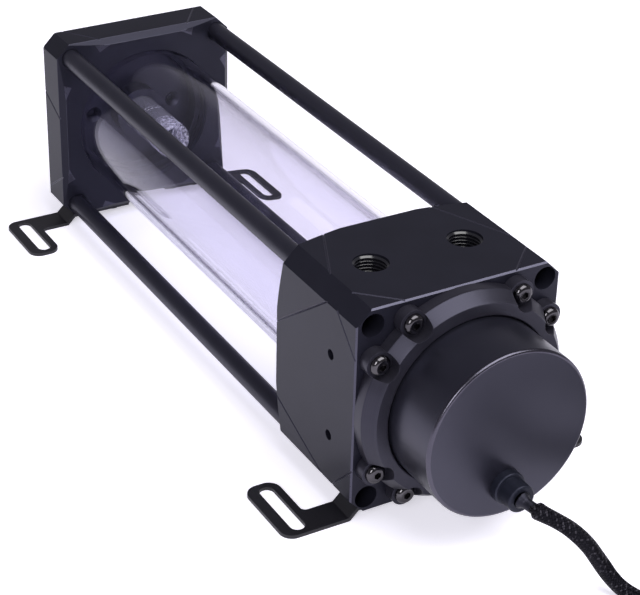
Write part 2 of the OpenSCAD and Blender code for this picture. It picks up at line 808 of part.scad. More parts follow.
module cable_grommet() {
    bore = cable_d / 2 + seat_clear;
    x_wall = x_cover - cover_wall;
    lip = 1.2;
    flange_t = 3.4;
    soft = 0.7;
    x_tip = x_cover + grommet_h;
    color("#22242e") turned(concat(
        [[bore, x_wall - lip], [grommet_neck / 2 + 1, x_wall - lip],
         [grommet_neck / 2 + 1, x_wall], [grommet_neck / 2, x_wall],
         [grommet_neck / 2, x_cover], [grommet_d / 2, x_cover]],
        quarter([grommet_d / 2 - soft, x_cover + flange_t - soft], soft, 3),
        [[nose_d / 2, x_cover + flange_t]],
        quarter([nose_d / 2 - soft, x_tip - soft], soft, 3),
        [[bore, x_tip]]
    ), z = -outlet_drop);
}

function unit(v) = v / norm(v);

// One ring of a swept tube, square to the route at its point i
function tube_ring(route, i, r, sides) =
    let (last = len(route) - 1,
         ahead = unit(route[min(i + 1, last)] - route[max(i - 1, 0)]),
         aside = unit(cross(ahead, [0, 0, 1])),
         up = cross(aside, ahead))
    [for (j = [0:sides - 1]) let (a = 360 * j / sides)
        route[i] + r * (cos(a) * aside + sin(a) * up)];

// Round tube swept along a route of points
module swept(route, d) {
    sides = 12;
    last = len(route) - 1;
    points = [for (i = [0:last]) each tube_ring(route, i, d / 2, sides)];
    polyhedron(points, concat(
        [[for (j = [0:sides - 1]) j]],
        [for (i = [0:last - 1], j = [0:sides - 1])
            let (a = i * sides + j, b = i * sides + (j + 1) % sides)
            each [[a, a + sides, b], [b, a + sides, b + sides]]],
        [[for (j = [sides - 1:-1:0]) last * sides + j]]
    ));
}

module at_coil() { translate([x_front + COIL_AT[0], COIL_AT[1], 0]) children(); }

module cable_lead() {
    color("#26262c") translate([x_front, 0, 0]) swept(LEAD_ROUTE, cable_d);
}

module cable_coil() {
    wide = coil_turns * cable_d;
    color("#26262c") at_coil() rotate_extrude($fn = fine)
        translate([coil_r - wide / 2, tie_t]) square([wide, cable_d]);
}

module cable_tail() {
    color("#26262c") at_coil() swept(TAIL_ROUTE, cable_d);
}

// Strap round the coil's turns, with its lock on top
module cable_tie() {
    wide = coil_turns * cable_d + 2 * thread_clear;
    tall = cable_d + thread_clear;
    lock = [5, 5, 3];
    color(steel) at_coil() translate([-coil_r, 0, 0]) {
        difference() {
            translate([-wide / 2 - tie_t, -tie_w / 2, 0])
                cube([wide + 2 * tie_t, tie_w, tall + 2 * tie_t]);
            translate([-wide / 2, -tie_w, tie_t]) cube([wide, 2 * tie_w, tall]);
        }
        translate([-lock[0] / 2, -lock[1] / 2, tall + 1.5 * tie_t]) cube(lock);
    }
}

// Frame of the connector: its back face at the tail's end, +X towards its mating face
module at_connector() {
    last = len(TAIL_ROUTE) - 1;
    heading = TAIL_ROUTE[last] - TAIL_ROUTE[last - 1];
    at_coil() translate([TAIL_ROUTE[last][0], TAIL_ROUTE[last][1], 0])
        rotate([0, 0, atan2(heading[1], heading[0])]) children();
}

connector = [12, 10.6, 6];
pin_pitch = 2.54;
pin_count = 4;
pin_room = 1.7;

module connector_housing() {
    wall_at = 2;
    color("#1b1b1f") at_connector() difference() {
        translate([0, -connector[1] / 2, 0]) cube(connector);
        for (i = [0:pin_count - 1])
            translate([wall_at, (i - (pin_count - 1) / 2) * pin_pitch - pin_room / 2,
                       (connector[2] - pin_room) / 2])
                cube([connector[0], pin_room, pin_room]);
    }
}

module connector_pins() {
    thick = pin_room - 2 * thread_clear;
    color("#c9a24a") at_connector() for (i = [0:pin_count - 1])
        translate([2, (i - (pin_count - 1) / 2) * pin_pitch, connector[2] / 2])
            difference() {
                translate([0, -thick / 2, -thick / 2]) cube([connector[0] - 3, thick, thick]);
                translate([4, -thick / 4, -thick / 4])
                    cube([connector[0], thick / 2, thick / 2]);
            }
}

// ---- Feet ----

// One foot, drawn with x counted inwards from the block's outer end and y outwards
module foot_plate() {
    bend_rise = foot_t * tan(22.5);
    fillet = 2;
    r = leg_round;
    difference() {
        union() {
            linear_extrude(foot_t) {
                for (x = [r, leg_len - r], y = [r, leg_w - r])
                    translate([arm_inset + x, leg_y + y]) circle(r = r, $fn = mid);
                translate([arm_inset + r, leg_y]) square([leg_len - 2 * r, leg_w]);
                translate([arm_inset, leg_y + r]) square([leg_len, leg_w - 2 * r]);
                difference() {
                    translate([arm_inset + arm_w - past, leg_y - fillet])
                        square([fillet + past, fillet + past]);
                    translate([arm_inset + arm_w + fillet, leg_y - fillet])
                        circle(r = fillet, $fn = mid);
                }
            }
            translate([arm_inset, 0, 0]) rotate([90, 0, 90]) linear_extrude(arm_w) polygon([
                [leg_y + r, 0], [foot_bend, 0], [foot_bend - foot_step, foot_step],
                [foot_inner, foot_step], [foot_inner, foot_step + foot_t],
                [foot_bend - foot_step + bend_rise, foot_step + foot_t],
                [foot_bend + bend_rise, foot_t], [leg_y + r, foot_t]
            ]);
        }
        translate([arm_inset + leg_len / 2, leg_y + slot_margin + slot_w / 2, -past])
            linear_extrude(foot_t + 2 * past) {
                for (side = [-1, 1]) translate([side * (slot_len - slot_w) / 2, 0])
                    circle(d = slot_w, $fn = mid);
                square([slot_len - slot_w, slot_w], center = true);
            }
        for (y = foot_screw_y) translate([foot_mid, y, foot_step - past])
            cylinder(r = small_d / 2 + screw_clear, h = foot_t + 2 * past, $fn = mid);
    }
}

// A foot at the pump end (end = 1) or the rear end (-1), on the left (side = -1) or right (1)
module foot(end, side) {
    color(satin) translate([end * x_front, 0, 0])
        mirror([end > 0 ? 1 : 0, 0, 0]) mirror([0, side < 0 ? 1 : 0, 0]) foot_plate();
}

module foot_front_left() { foot(1, -1); }
module foot_front_right() { foot(1, 1); }
module foot_rear_left() { foot(-1, -1); }
module foot_rear_right() { foot(-1, 1); }

module foot_screws() {
    color(steel) for (end = [-1, 1], side = [-1, 1], y = foot_screw_y)
        translate([end * (x_front - foot_mid), side * y, foot_step])
            rotate([180, 0, 0]) button_screw(foot_t + foot_grip);
}

pump_block();
rear_cap();
reservoir_tube();
tube_seal_front();
tube_seal_rear();
tie_rod_upper_left();
tie_rod_upper_right();
tie_rod_lower_left();
tie_rod_lower_right();
rod_screws_front();
rod_screws_rear();
riser_tube();
fill_plug();
fill_plug_seal();
clamp_ring();
ring_screws();
pump_cover();
motor_housing();
pump_seal();
separator_cup();
bearing_post();
magnet_rotor();
impeller();
stator_core();
stator_coils();
circuit_board();
cable_grommet();
foot_front_left();
foot_front_right();
foot_rear_left();
foot_rear_right();
foot_screws();
cable_lead();
cable_coil();
cable_tail();
cable_tie();
connector_housing();
connector_pins();
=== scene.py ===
"""Coolant pump with tube reservoir: finishes, modelled detail, lead, light and camera."""

import logging
import math
from dataclasses import dataclass
from enum import Enum
from typing import Callable, Optional, Sequence, Union

import bmesh
import bpy
from mathutils import Matrix, Vector


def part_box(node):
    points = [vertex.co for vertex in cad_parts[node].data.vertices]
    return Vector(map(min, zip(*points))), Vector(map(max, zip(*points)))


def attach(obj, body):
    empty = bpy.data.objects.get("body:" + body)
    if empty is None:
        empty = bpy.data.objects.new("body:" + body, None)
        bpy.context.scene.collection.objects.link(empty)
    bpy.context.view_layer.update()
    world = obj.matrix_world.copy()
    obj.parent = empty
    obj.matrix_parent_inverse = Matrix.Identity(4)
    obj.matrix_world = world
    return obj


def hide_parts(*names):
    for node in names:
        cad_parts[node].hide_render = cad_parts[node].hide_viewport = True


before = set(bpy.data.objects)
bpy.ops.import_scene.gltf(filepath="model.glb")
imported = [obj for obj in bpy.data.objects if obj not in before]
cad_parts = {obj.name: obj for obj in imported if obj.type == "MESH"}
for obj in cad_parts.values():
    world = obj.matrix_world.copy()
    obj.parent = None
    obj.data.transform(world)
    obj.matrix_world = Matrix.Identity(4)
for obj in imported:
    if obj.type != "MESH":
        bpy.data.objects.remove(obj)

LOG = logging.getLogger("reservoir")
MM = 0.001

# The cool tint that the studio gives to every sheen.
VIOLET = "#dfddff"

ACRYLIC_IOR = 1.49

# Layers in the noise of slow tone changes.
CLOUD_DETAIL = 3.0

# Vertices of a CAD mesh closer than WELD_MM are one, faces bent less than FLAT_DEG are one
# flat, and SEAM_MM closes a turned shape on itself.
WELD_MM = 0.002
FLAT_DEG = 0.4
SEAM_MM = 0.001

Tree = bpy.types.NodeTree
Node = bpy.types.Node
Socket = bpy.types.NodeSocket
Point = Sequence[float]


class Body(str, Enum):
    """The rigid bodies that new pieces ride on."""

    HOUSING = "housing"
    PLUG = "plug"


class Slot(str, Enum):
    """The record's material slots; no piece in this script takes its finish from them."""

    BLOCK = "block"
    TUBE = "tube"
    RISER = "riser"
    RODS = "rods"
    RING = "ring"
    COVER = "cover"
    SCREWS = "screws"
    FEET = "feet"
    RUBBER = "rubber"
    PLUG = "plug"
    SLEEVE = "sleeve"


def box_of(node: str) -> tuple[Vector, Vector]:
    """Lowest and highest corner of a CAD node, in metres."""
    low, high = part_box(node)
    return Vector(low), Vector(high)


def off_axis(place: Vector, height: float) -> float:
    """Distance of a place from the line along X that runs at this height."""
    return math.hypot(place.y, place.z - height)


# ---------------------------------------------------------------- materials


def srgb(code: str) -> tuple[float, float, float, float]:
    """Turns an sRGB hex colour into linear light.

    Args:
        code: six hex digits, with or without a leading #.

    Returns:
        Linear red, green, blue and an alpha of 1.
    """
    digits = code.lstrip("#")
    channels = [int(digits[i : i + 2], 16) / 255 for i in (0, 2, 4)]
    linear = [c / 12.92 if c <= 0.04045 else ((c + 0.055) / 1.055) ** 2.4 for c in channels]
    return (*linear, 1.0)


class Kind(str, Enum):
    """The shader nodes that the finishes and the light are made of."""

    PLACE = "ShaderNodeTexCoord"
    SEPARATE = "ShaderNodeSeparateXYZ"
    COMBINE = "ShaderNodeCombineXYZ"
    NOISE = "ShaderNodeTexNoise"
    CHANCE = "ShaderNodeTexWhiteNoise"
    MATH = "ShaderNodeMath"
    RANGE = "ShaderNodeMapRange"
    RAMP = "ShaderNodeValToRGB"
    MIX = "ShaderNodeMix"
    BUMP = "ShaderNodeBump"
    PRINCIPLED = "ShaderNodeBsdfPrincipled"
    DIFFUSE = "ShaderNodeBsdfDiffuse"
    TRANSPARENT = "ShaderNodeBsdfTransparent"
    EMISSION = "ShaderNodeEmission"
    MIX_SHADERS = "ShaderNodeMixShader"
    ADD_SHADERS = "ShaderNodeAddShader"
    LIGHT_PATH = "ShaderNodeLightPath"
    MATERIAL = "ShaderNodeOutputMaterial"
    BACKGROUND = "ShaderNodeBackground"
    WORLD = "ShaderNodeOutputWorld"


def add(tree: Tree, kind: Kind, inputs: Optional[dict[Union[str, int], object]] = None,
        stops: Sequence[tuple[float, str]] = (), **settings: str) -> Node:
    """Adds one shader node with its settings, constants and links.

    Args:
        tree: the node tree that gets the node.
        kind: the node's type.
        inputs: socket name or index to a constant, to the socket that feeds it, or to the
            node whose first output feeds it.
        stops: a colour ramp's two places and their sRGB hex colours.
        settings: properties of the node itself.

    Returns:
        The new node.
    """
    node = tree.nodes.new(kind.value)
    for name, value in settings.items():
        setattr(node, name, value)
    for key, value in (inputs or {}).items():
        source = value.outputs[0] if isinstance(value, Node) else value
        if isinstance(source, Socket):
            tree.links.new(source, node.inputs[key])
        else:
            node.inputs[key].default_value = source
    if stops:
        for element, (place, code) in zip(node.color_ramp.elements, stops):
            element.position = place
            element.color = srgb(code)
    return node


@dataclass(frozen=True)
class Finish:
    """A finish that is built once and then shared by its pieces.

    Attributes:
        name: the material's name.
        colour: its main colour, sRGB hex.
        roughness: its mean roughness.
    """

    name: str
    colour: str
    roughness: float

    def material(self) -> bpy.types.Material:
        """Builds the finish's material on first use.

        Returns:
            The material.
        """
        material = bpy.data.materials.get(self.name)
        if material is None:
            material = bpy.data.materials.new(self.name)
            material.use_nodes = True
            tree = material.node_tree
            tree.nodes.clear()
            add(tree, Kind.MATERIAL, {"Surface": self.shader(tree)})
        return material

    def shader(self, tree: Tree) -> Node:
        """Builds the finish's shader in a node tree and returns its last node."""
        raise NotImplementedError


@dataclass(frozen=True)
class Opaque(Finish):
    """What machined and turned surfaces share.

    Attributes:
        light: colour of the palest parts.
        depth_mm: depth of the grain or the grooves.
        metallic: 1 for bare metal, 0 for plastic, paint and anodising.
        tint: colour that the sheen takes on, sRGB hex.
        level: strength of the sheen, 0.5 for its index of refraction alone.
        uneven: how far the pattern lowers and raises the roughness.
    """

    light: str
    depth_mm: float = 0.004
    metallic: float = 0.0
    tint: str = "#ffffff"
    level: float = 0.5
    uneven: Point = (0.05, 0.07)

    def surface(self, tree: Tree, colour: Node, pattern: Node,
                top: Optional[dict[str, float]] = None) -> Node:
        """A surface whose pattern shows in its relief and in its sheen.

        Args:
            tree: the node tree that gets it.
            colour: its colour.
            pattern: its grain or grooves, from 0 to 1.
            top: constants of a clear top layer.

        Returns:
            The shader's last node.
        """
        lower, higher = self.uneven
        return add(tree, Kind.PRINCIPLED, {
            "Base Color": colour,
            "Roughness": add(tree, Kind.RANGE, {
                "Value": pattern, "To Min": self.roughness - lower,
                "To Max": self.roughness + higher}),
            "Metallic": self.metallic,
            "Specular Tint": srgb(self.tint),
            "Specular IOR Level": self.level,
            "Normal": add(tree, Kind.BUMP, {
                "Height": pattern, "Distance": self.depth_mm * MM, "Strength": 1.0}),
            **(top or {}),
        })


@dataclass(frozen=True)
class Machined(Opaque):
    """Machined, moulded or painted surface: fine grain, slow tone changes and a satin sheen.

    Attributes:
        grain_mm: width of the fine grain.
        coat: strength of a clear top layer.
        coat_roughness: roughness of that layer.
        cloud_mm: width of the slow tone changes.
        cloud_span: where in them the colour starts to turn pale, and where it ends.
    """

    grain_mm: float = 0.35
    coat: float = 0.0
    coat_roughness: float = 0.12
    cloud_mm: float = 14.0
    cloud_span: Point = (0.3, 0.75)

    def shader(self, tree: Tree) -> Node:
        """Builds the finish's shader.

        Args:
            tree: the node tree that gets it.

        Returns:
            The shader's last node.
        """
        place = add(tree, Kind.PLACE).outputs["Object"]
        cloud = add(tree, Kind.NOISE, {
            "Vector": place, "Scale": 1 / (self.cloud_mm * MM), "Detail": CLOUD_DETAIL})
        grain = add(tree, Kind.NOISE, {
            "Vector": place, "Scale": 1 / (self.grain_mm * MM), "Detail": 5.0})
        dark_to, light_from = self.cloud_span
        colour = add(tree, Kind.RAMP, {"Fac": cloud},
                     stops=[(dark_to, self.colour), (light_from, self.light)])
        return self.surface(tree, colour, grain, {
            "Coat Weight": self.coat, "Coat Roughness": self.coat_roughness})


@dataclass(frozen=True)
class Turned(Opaque):
    """Lathe-turned surface: fine grooves in rings round the reservoir's axis.

    Attributes:
        axis_z: height of the axis, in metres.
        pitch_mm: distance between grooves.
        cloud_mm: width of the slow tone changes.
        shares: how much the grooves and the slow changes count in the colour.
        span: where in their sum the colour starts to turn pale, and where it ends.
    """

    depth_mm: float = 0.003
    uneven: Point = (0.06, 0.08)
    axis_z: float = 0.0465
    pitch_mm: float = 0.25
    cloud_mm: float = 9.0
    shares: Point = (0.6, 0.4)
    span: Point = (0.35, 0.7)

    def shader(self, tree: Tree) -> Node:
        """Builds the finish's shader.

        Args:
            tree: the node tree that gets it.

        Returns:
            The shader's last node.
        """
        place = add(tree, Kind.PLACE).outputs["Object"]
        parts = add(tree, Kind.SEPARATE, {0: place}).outputs
        height = add(tree, Kind.MATH, {0: parts["Z"], 1: self.axis_z}, operation="SUBTRACT")
        squares = [add(tree, Kind.MATH, {0: side, 1: side}, operation="MULTIPLY")
                   for side in (parts["Y"], height)]
        square = add(tree, Kind.MATH, dict(enumerate(squares)), operation="ADD")
        radius = add(tree, Kind.MATH, {0: square}, operation="SQRT")
        grooves = add(tree, Kind.NOISE, {
            "Vector": add(tree, Kind.COMBINE, {"X": radius, "Y": parts["X"]}),
            "Scale": 1 / (self.pitch_mm * MM), "Detail": 4.0})
        cloud = add(tree, Kind.NOISE, {
            "Vector": place, "Scale": 1 / (self.cloud_mm * MM), "Detail": CLOUD_DETAIL})
        groove_share, cloud_share = self.shares
        slow = add(tree, Kind.MATH, {0: cloud, 1: cloud_share}, operation="MULTIPLY")
        tone = add(tree, Kind.MATH, {0: grooves, 1: groove_share, 2: slow},
                   operation="MULTIPLY_ADD")
        dark_to, light_from = self.span
        colour = add(tree, Kind.RAMP, {"Fac": tone},
                     stops=[(dark_to, self.colour), (light_from, self.light)])
        return self.surface(tree, colour, grooves)


@dataclass(frozen=True)
class Clear(Finish):
    """Clear polished acrylic that lets light through to what it covers.

    Attributes:
        shade: colour of its shadow, sRGB hex.
        haze: share of light that it scatters instead of letting through.
        streak_mm: width of its polishing streaks.
        polish: how much smoother than the rest the streaks are.
    """

    shade: str = "#f0f0f6"
    haze: float = 0.0
    streak_mm: float = 30.0
    polish: float = 0.004

    def shader(self, tree: Tree) -> Node:
        """Builds the finish's shader.

        Args:
            tree: the node tree that gets it.

        Returns:
            The shader's last node.
        """
        streaks = add(tree, Kind.NOISE, {
            "Vector": add(tree, Kind.PLACE).outputs["Object"],
            "Scale": 1 / (self.streak_mm * MM), "Detail": CLOUD_DETAIL})
        glass = add(tree, Kind.PRINCIPLED, {
            "Base Color": srgb(self.colour),
            "Roughness": add(tree, Kind.RANGE, {
                "Value": streaks, "To Min": max(0.0, self.roughness - self.polish),
                "To Max": self.roughness}),
            "IOR": ACRYLIC_IOR,
            "Transmission Weight": 1.0 - self.haze,
            "Specular Tint": srgb(VIOLET),
        })
        path = add(tree, Kind.LIGHT_PATH).outputs
        unseen = add(tree, Kind.MATH, {0: path["Is Shadow Ray"], 1: path["Is Diffuse Ray"]},
                     operation="MAXIMUM")
        see_through = add(tree, Kind.TRANSPARENT, {"Color": srgb(self.shade)})
        return add(tree, Kind.MIX_SHADERS, {0: unseen, 1: glass, 2: see_through})


@dataclass(frozen=True)
class Sawn(Finish):
    """Sawn or threaded acrylic: clear with cloudy, sparkling patches.

    Attributes:
        patch_mm: width of the patches.
        depth_mm: depth of the cuts.
        span: where in the patches the frost starts, and where it is full.
        frost: least and greatest share of frost.
    """

    patch_mm: float = 1.5
    depth_mm: float = 0.9
    span: Point = (0.42, 0.62)
    frost: Point = (0.08, 0.7)

    def shader(self, tree: Tree) -> Node:
        """Builds the finish's shader.

        Args:
            tree: the node tree that gets it.

        Returns:
            The shader's last node.
        """
        patches = add(tree, Kind.NOISE, {
            "Vector": add(tree, Kind.PLACE).outputs["Object"],
            "Scale": 1 / (self.patch_mm * MM), "Detail": 6.0})
        cut = {
            "Base Color": srgb(self.colour), "Roughness": self.roughness,
            "Normal": add(tree, Kind.BUMP, {
                "Height": patches, "Distance": self.depth_mm * MM, "Strength": 1.0}),
        }
        glass = add(tree, Kind.PRINCIPLED, {
            **cut, "IOR": ACRYLIC_IOR, "Transmission Weight": 1.0})
        clear_to, frosted_from = self.span
        mask = add(tree, Kind.RAMP, {"Fac": patches},
                   stops=[(clear_to, "#000000"), (frosted_from, "#ffffff")])
        least, most = self.frost
        cloudy = add(tree, Kind.RANGE, {"Value": mask, "To Min": least, "To Max": most})
        return add(tree, Kind.MIX_SHADERS, {
            0: cloudy, 1: glass, 2: add(tree, Kind.PRINCIPLED, cut)})


@dataclass(frozen=True)
class Braided(Finish):
    """Braided sleeve, from a UV map that counts turns round and metres along the lead.

    Attributes:
        light: colour of the strand crowns, paler than the painted shade between strands.
        fleck: colour of the scattered pale dashes.
        level: strength of the sheen.
        strands: strands round the sleeve in each direction.
        lay_mm: length of sleeve in which a strand goes once round.
        flatness: power that rounds a strand, lower for a flatter one.
        crown_span: height at which the colour starts to turn pale, and where it ends; lower down
            is painted shade between strands.
        dash_mm: length of sleeve from one dash to the next.
        dash_gap: share of that length that has no dash.
        plain_share: share of strands that have no dashes.
        dash_narrow: power that keeps dashes to the crowns.
        depth_mm: depth between strands.
        fibre_mm: width of the fibres in a strand.
        fibre_depth_mm: depth between fibres.
    """

    light: str
    fleck: str
    level: float = 0.16
    strands: int = 12
    lay_mm: float = 14.0
    flatness: float = 0.6
    crown_span: Point = (0.1, 0.95)
    dash_mm: float = 2.2
    dash_gap: float = 0.3
    plain_share: float = 0.58
    dash_narrow: float = 3.0
    depth_mm: float = 0.35
    fibre_mm: float = 0.18
    fibre_depth_mm: float = 0.02

    def across(self, tree: Tree, uv: bpy.types.bpy_prop_collection, sign: float) -> Node:
        """Place across the strands that wind one way.

        Args:
            tree: the node tree that gets it.
            uv: the sleeve's coordinates.
            sign: the way that they wind, 1 or -1.

        Returns:
            The place, in strand widths.
        """
        turns = add(tree, Kind.MATH, {0: uv["Y"], 1: self.lay_mm * MM}, operation="DIVIDE")
        along = add(tree, Kind.MATH, {0: turns, 1: sign, 2: uv["X"]},
                    operation="MULTIPLY_ADD")
        return add(tree, Kind.MATH, {0: along, 1: float(self.strands)}, operation="MULTIPLY")

    def crown(self, tree: Tree, across: Node) -> Node:
        """Rounded height across one strand.

        Args:
            tree: the node tree that gets it.
            across: the place across the strands.

        Returns:
            The height, 0 at the strand's edges and 1 in its middle.
        """
        share = add(tree, Kind.MATH, {0: across}, operation="FRACT")
        angle = add(tree, Kind.MATH, {0: share, 1: math.pi}, operation="MULTIPLY")
        wave = add(tree, Kind.MATH, {0: angle}, operation="SINE")
        above = add(tree, Kind.MATH, {0: wave, 1: 0.0}, operation="MAXIMUM")
        return add(tree, Kind.MATH, {0: above, 1: self.flatness}, operation="POWER")

    def dashes(self, tree: Tree, uv: bpy.types.bpy_prop_collection, strand: Node) -> Node:
        """Dashes along some of the strands, picked by chance.

        Args:
            tree: the node tree that gets them.
            uv: the sleeve's coordinates.
            strand: the strand's number.

        Returns:
            1 on a dash, and 0 elsewhere.
        """
        chance = add(tree, Kind.CHANCE, {"W": strand}, noise_dimensions="1D")
        picked = add(tree, Kind.MATH, {0: chance, 1: self.plain_share},
                     operation="GREATER_THAN")
        steps = add(tree, Kind.MATH, {0: uv["Y"], 1: 1 / (self.dash_mm * MM)},
                    operation="MULTIPLY")
        step = add(tree, Kind.MATH, {0: steps}, operation="FRACT")
        dash = add(tree, Kind.MATH, {0: step, 1: self.dash_gap}, operation="GREATER_THAN")
        return add(tree, Kind.MATH, {0: dash, 1: picked}, operation="MULTIPLY")

    def shader(self, tree: Tree) -> Node:
        """Builds the finish's shader.

        Args:
            tree: the node tree that gets it.

        Returns:
            The shader's last node.
        """
        places = add(tree, Kind.PLACE).outputs
        uv = add(tree, Kind.SEPARATE, {0: places["UV"]}).outputs
        left, right = self.across(tree, uv, 1.0), self.across(tree, uv, -1.0)
        left_count = add(tree, Kind.MATH, {0: left}, operation="FLOOR")
        right_count = add(tree, Kind.MATH, {0: right}, operation="FLOOR")
        # Where the counts' sum is odd, the right-hand strand lies on top. The even number
        # added to it keeps the sum above zero all along the lead.
        above_zero = 400.0
        cells = add(tree, Kind.MATH, {0: left_count, 1: right_count}, operation="ADD")
        lifted = add(tree, Kind.MATH, {0: cells, 1: above_zero}, operation="ADD")
        on_top = add(tree, Kind.MATH, {0: lifted, 1: 2.0}, operation="MODULO")
        height = add(tree, Kind.MIX, {
            0: on_top, 2: self.crown(tree, left), 3: self.crown(tree, right),
        }, data_type="FLOAT")
        # A right-hand strand gets a number far from those of the left-hand ones.
        apart = 57.0
        numbered = add(tree, Kind.MATH, {0: right_count, 1: apart}, operation="ADD")
        strand = add(tree, Kind.MIX, {0: on_top, 2: left_count, 3: numbered},
                     data_type="FLOAT")
        crest = add(tree, Kind.MATH, {0: height, 1: self.dash_narrow}, operation="POWER")
        pale = add(tree, Kind.MATH, {0: self.dashes(tree, uv, strand), 1: crest},
                   operation="MULTIPLY")
        # Painted shade: each strand darkens towards its edges, where it dips under its
        # neighbours.
        dark_to, light_from = self.crown_span
        black = add(tree, Kind.RAMP, {"Fac": height},
                    stops=[(dark_to, self.colour), (light_from, self.light)])
        colour = add(tree, Kind.MIX, {0: pale, 6: black, 7: srgb(self.fleck)},
                     data_type="RGBA").outputs[2]
        fibres = add(tree, Kind.NOISE, {
            "Vector": places["Object"], "Scale": 1 / (self.fibre_mm * MM), "Detail": 4.0})
        fine = add(tree, Kind.BUMP, {
            "Height": fibres, "Distance": self.fibre_depth_mm * MM, "Strength": 1.0})
        return add(tree, Kind.PRINCIPLED, {
            "Base Color": colour,
            "Roughness": self.roughness,
            "Specular Tint": srgb(VIOLET),
            "Specular IOR Level": self.level,
            "Normal": add(tree, Kind.BUMP, {
                "Height": height, "Distance": self.depth_mm * MM, "Strength": 1.0,
                "Normal": fine}),
        })


@dataclass(frozen=True)
class Paper(Finish):
    """Pale studio paper that the view and the reflections see a little brighter than lit.

    Attributes:
        light: colour of its palest parts.
        cloud_mm: width of its slow tone changes.
        seen: light added as the camera sees it.
        through: light added as seen through clear pieces.
        reflected: light added in reflections.
    """

    light: str
    cloud_mm: float = 400.0
    seen: float = 0.6
    through: float = 0.34
    reflected: float = 0.24

    def shader(self, tree: Tree) -> Node:
        """Builds the finish's shader.

        Args:
            tree: the node tree that gets it.

        Returns:
            The shader's last node.
        """
        cloud = add(tree, Kind.NOISE, {
            "Vector": add(tree, Kind.PLACE).outputs["Object"],
            "Scale": 1 / (self.cloud_mm * MM), "Detail": CLOUD_DETAIL})
        tone = add(tree, Kind.RAMP, {"Fac": cloud},
                   stops=[(0.0, self.colour), (1.0, self.light)])
        lit = add(tree, Kind.DIFFUSE, {"Color": tone, "Roughness": self.roughness})
        path = add(tree, Kind.LIGHT_PATH).outputs
        lift = add(tree, Kind.MATH, {0: path["Is Glossy Ray"], 1: self.reflected},
                   operation="MULTIPLY")
        for ray, share in (("Is Transmission Ray", self.through), ("Is Camera Ray", self.seen)):
            lift = add(tree, Kind.MATH, {0: path[ray], 1: share, 2: lift},
                       operation="MULTIPLY_ADD")
        glow = add(tree, Kind.EMISSION, {"Color": tone, "Strength": lift})
        return add(tree, Kind.ADD_SHADERS, {0: lit, 1: glow})


# A grain of 0.2 to 0.6 mm stands for tool marks, blasting and moulding grain that are finer
# than that; it is drawn as coarse as it needs to be seen.

# Black acetal, milled all round: an even satin black with a faint grain.
BLOCK = Machined("machined_acetal", "#15151d", 0.4, light="#191922", grain_mm=0.5,
                 depth_mm=0.006, tint=VIOLET, level=0.34)
# The same acetal turned on a lathe: soft rings, drawn wider than the lathe's real feed.
CHAMBER = Turned("turned_acetal", "#14141b", 0.36, light="#1d1d26", pitch_mm=0.45,
                 depth_mm=0.02, tint=VIOLET)
# The bottom of a drilled hole, which light hardly reaches: painted shade, near black and with no
# sheen.
SHADOWED = Machined("blind_hole", "#050507", 0.6, light="#09090c", level=0.15)
# Blasted and anodised aluminium: dark grey with a soft, wide highlight.
ANODISED = Machined("black_anodised", "#1e1e26", 0.38, light="#23222b", grain_mm=0.25,
                    tint=VIOLET)
# Turned and anodised aluminium: fine rings in the highlight.
RING = Turned("turned_anodised", "#1c1b22", 0.34, light="#29282f", tint=VIOLET)
# Finely turned and anodised aluminium: smooth, with a strong sheen at a low angle.
COVER = Machined("cover_anodised", "#14141b", 0.3, light="#18181f", grain_mm=0.3,
                 depth_mm=0.0008, tint=VIOLET, level=0.8)
# The cover's rounded rim, polished before anodising: a thin rim of light.
COVER_EDGE = Machined("cover_edge", "#52505b", 0.24, light="#5a5863", grain_mm=0.3,
                      depth_mm=0.0005, metallic=1.0)
# Painted highlight on acetal: a paler colour on the broken edges and engraved lines, standing
# for the light that they catch.
EDGE_HIGHLIGHT = Machined("painted_edge_highlight", "#25242c", 0.28, light="#2f2e37", grain_mm=0.5,
                    depth_mm=0.003, tint=VIOLET, level=1.0)
# Drawn and anodised aluminium: a long, soft highlight along the rod.
ROD = Machined("rod_anodised", "#1d1d25", 0.36, light="#22212a", grain_mm=0.2, depth_mm=0.003,
               tint=VIOLET)
# Black-oxide steel: dark, with small hard highlights.
SCREW = Machined("black_oxide", "#4c4a4e", 0.13, light="#5c5a5d", grain_mm=0.15,
                 depth_mm=0.002, metallic=1.0)
# A freshly cut thread in acetal, with a trace of oil: bright lines on its crests.
THREAD = Machined("cut_thread", "#141419", 0.16, light="#1b1a20", grain_mm=0.3, depth_mm=0.003,
                  coat=0.6)
# Powder coat on sheet steel: matt, with a fine orange-peel.
POWDER = Machined("powder_coat", "#1a191e", 0.4, light="#201f25", grain_mm=0.45, depth_mm=0.012)
# Moulded rubber: blue-black and dull.
RUBBER = Machined("black_rubber", "#101219", 0.42, light="#161821", grain_mm=0.5, depth_mm=0.01,
                  tint="#d8daff", level=0.4)
# Polished cast acrylic: clear, with bright edges.
CLEAR = Clear("clear_acrylic", "#eeecf7", 0.01)
# Extruded acrylic: clear with a slight haze.
RISER = Clear("clear_riser", "#f8f7ff", 0.05, haze=0.08)
# Acrylic as the saw and the tap leave it: cloudy and sparkling.
SAWN = Sawn("sawn_acrylic", "#e9e7f4", 0.16)
# Extruded cable sheath: smooth and nearly black.
WIRE = Machined("wire_sheath", "#0b0c10", 0.4, light="#111217", grain_mm=0.8, depth_mm=0.003,
                tint=VIOLET, level=0.35)
# Braided polyester: matt black with pale flecks; its fibres are drawn wider than real ones.
SLEEVE = Braided("braided_sleeve", "#060607", 0.45, light="#0b0a0d", fleck="#403e44")
# Moulded nylon: black with a soft sheen.
NYLON = Machined("black_nylon", "#141418", 0.32, light="#1b1b20", grain_mm=0.6)
# Stamped and tinned brass: warm and bright.
BRASS = Machined("tinned_brass", "#b89a5c", 0.3, light="#cdb27a", metallic=1.0)
# Moulded glass-filled plastic: dull dark grey.
MOULDED = Machined("moulded_housing", "#26262b", 0.5, light="#2e2e33")
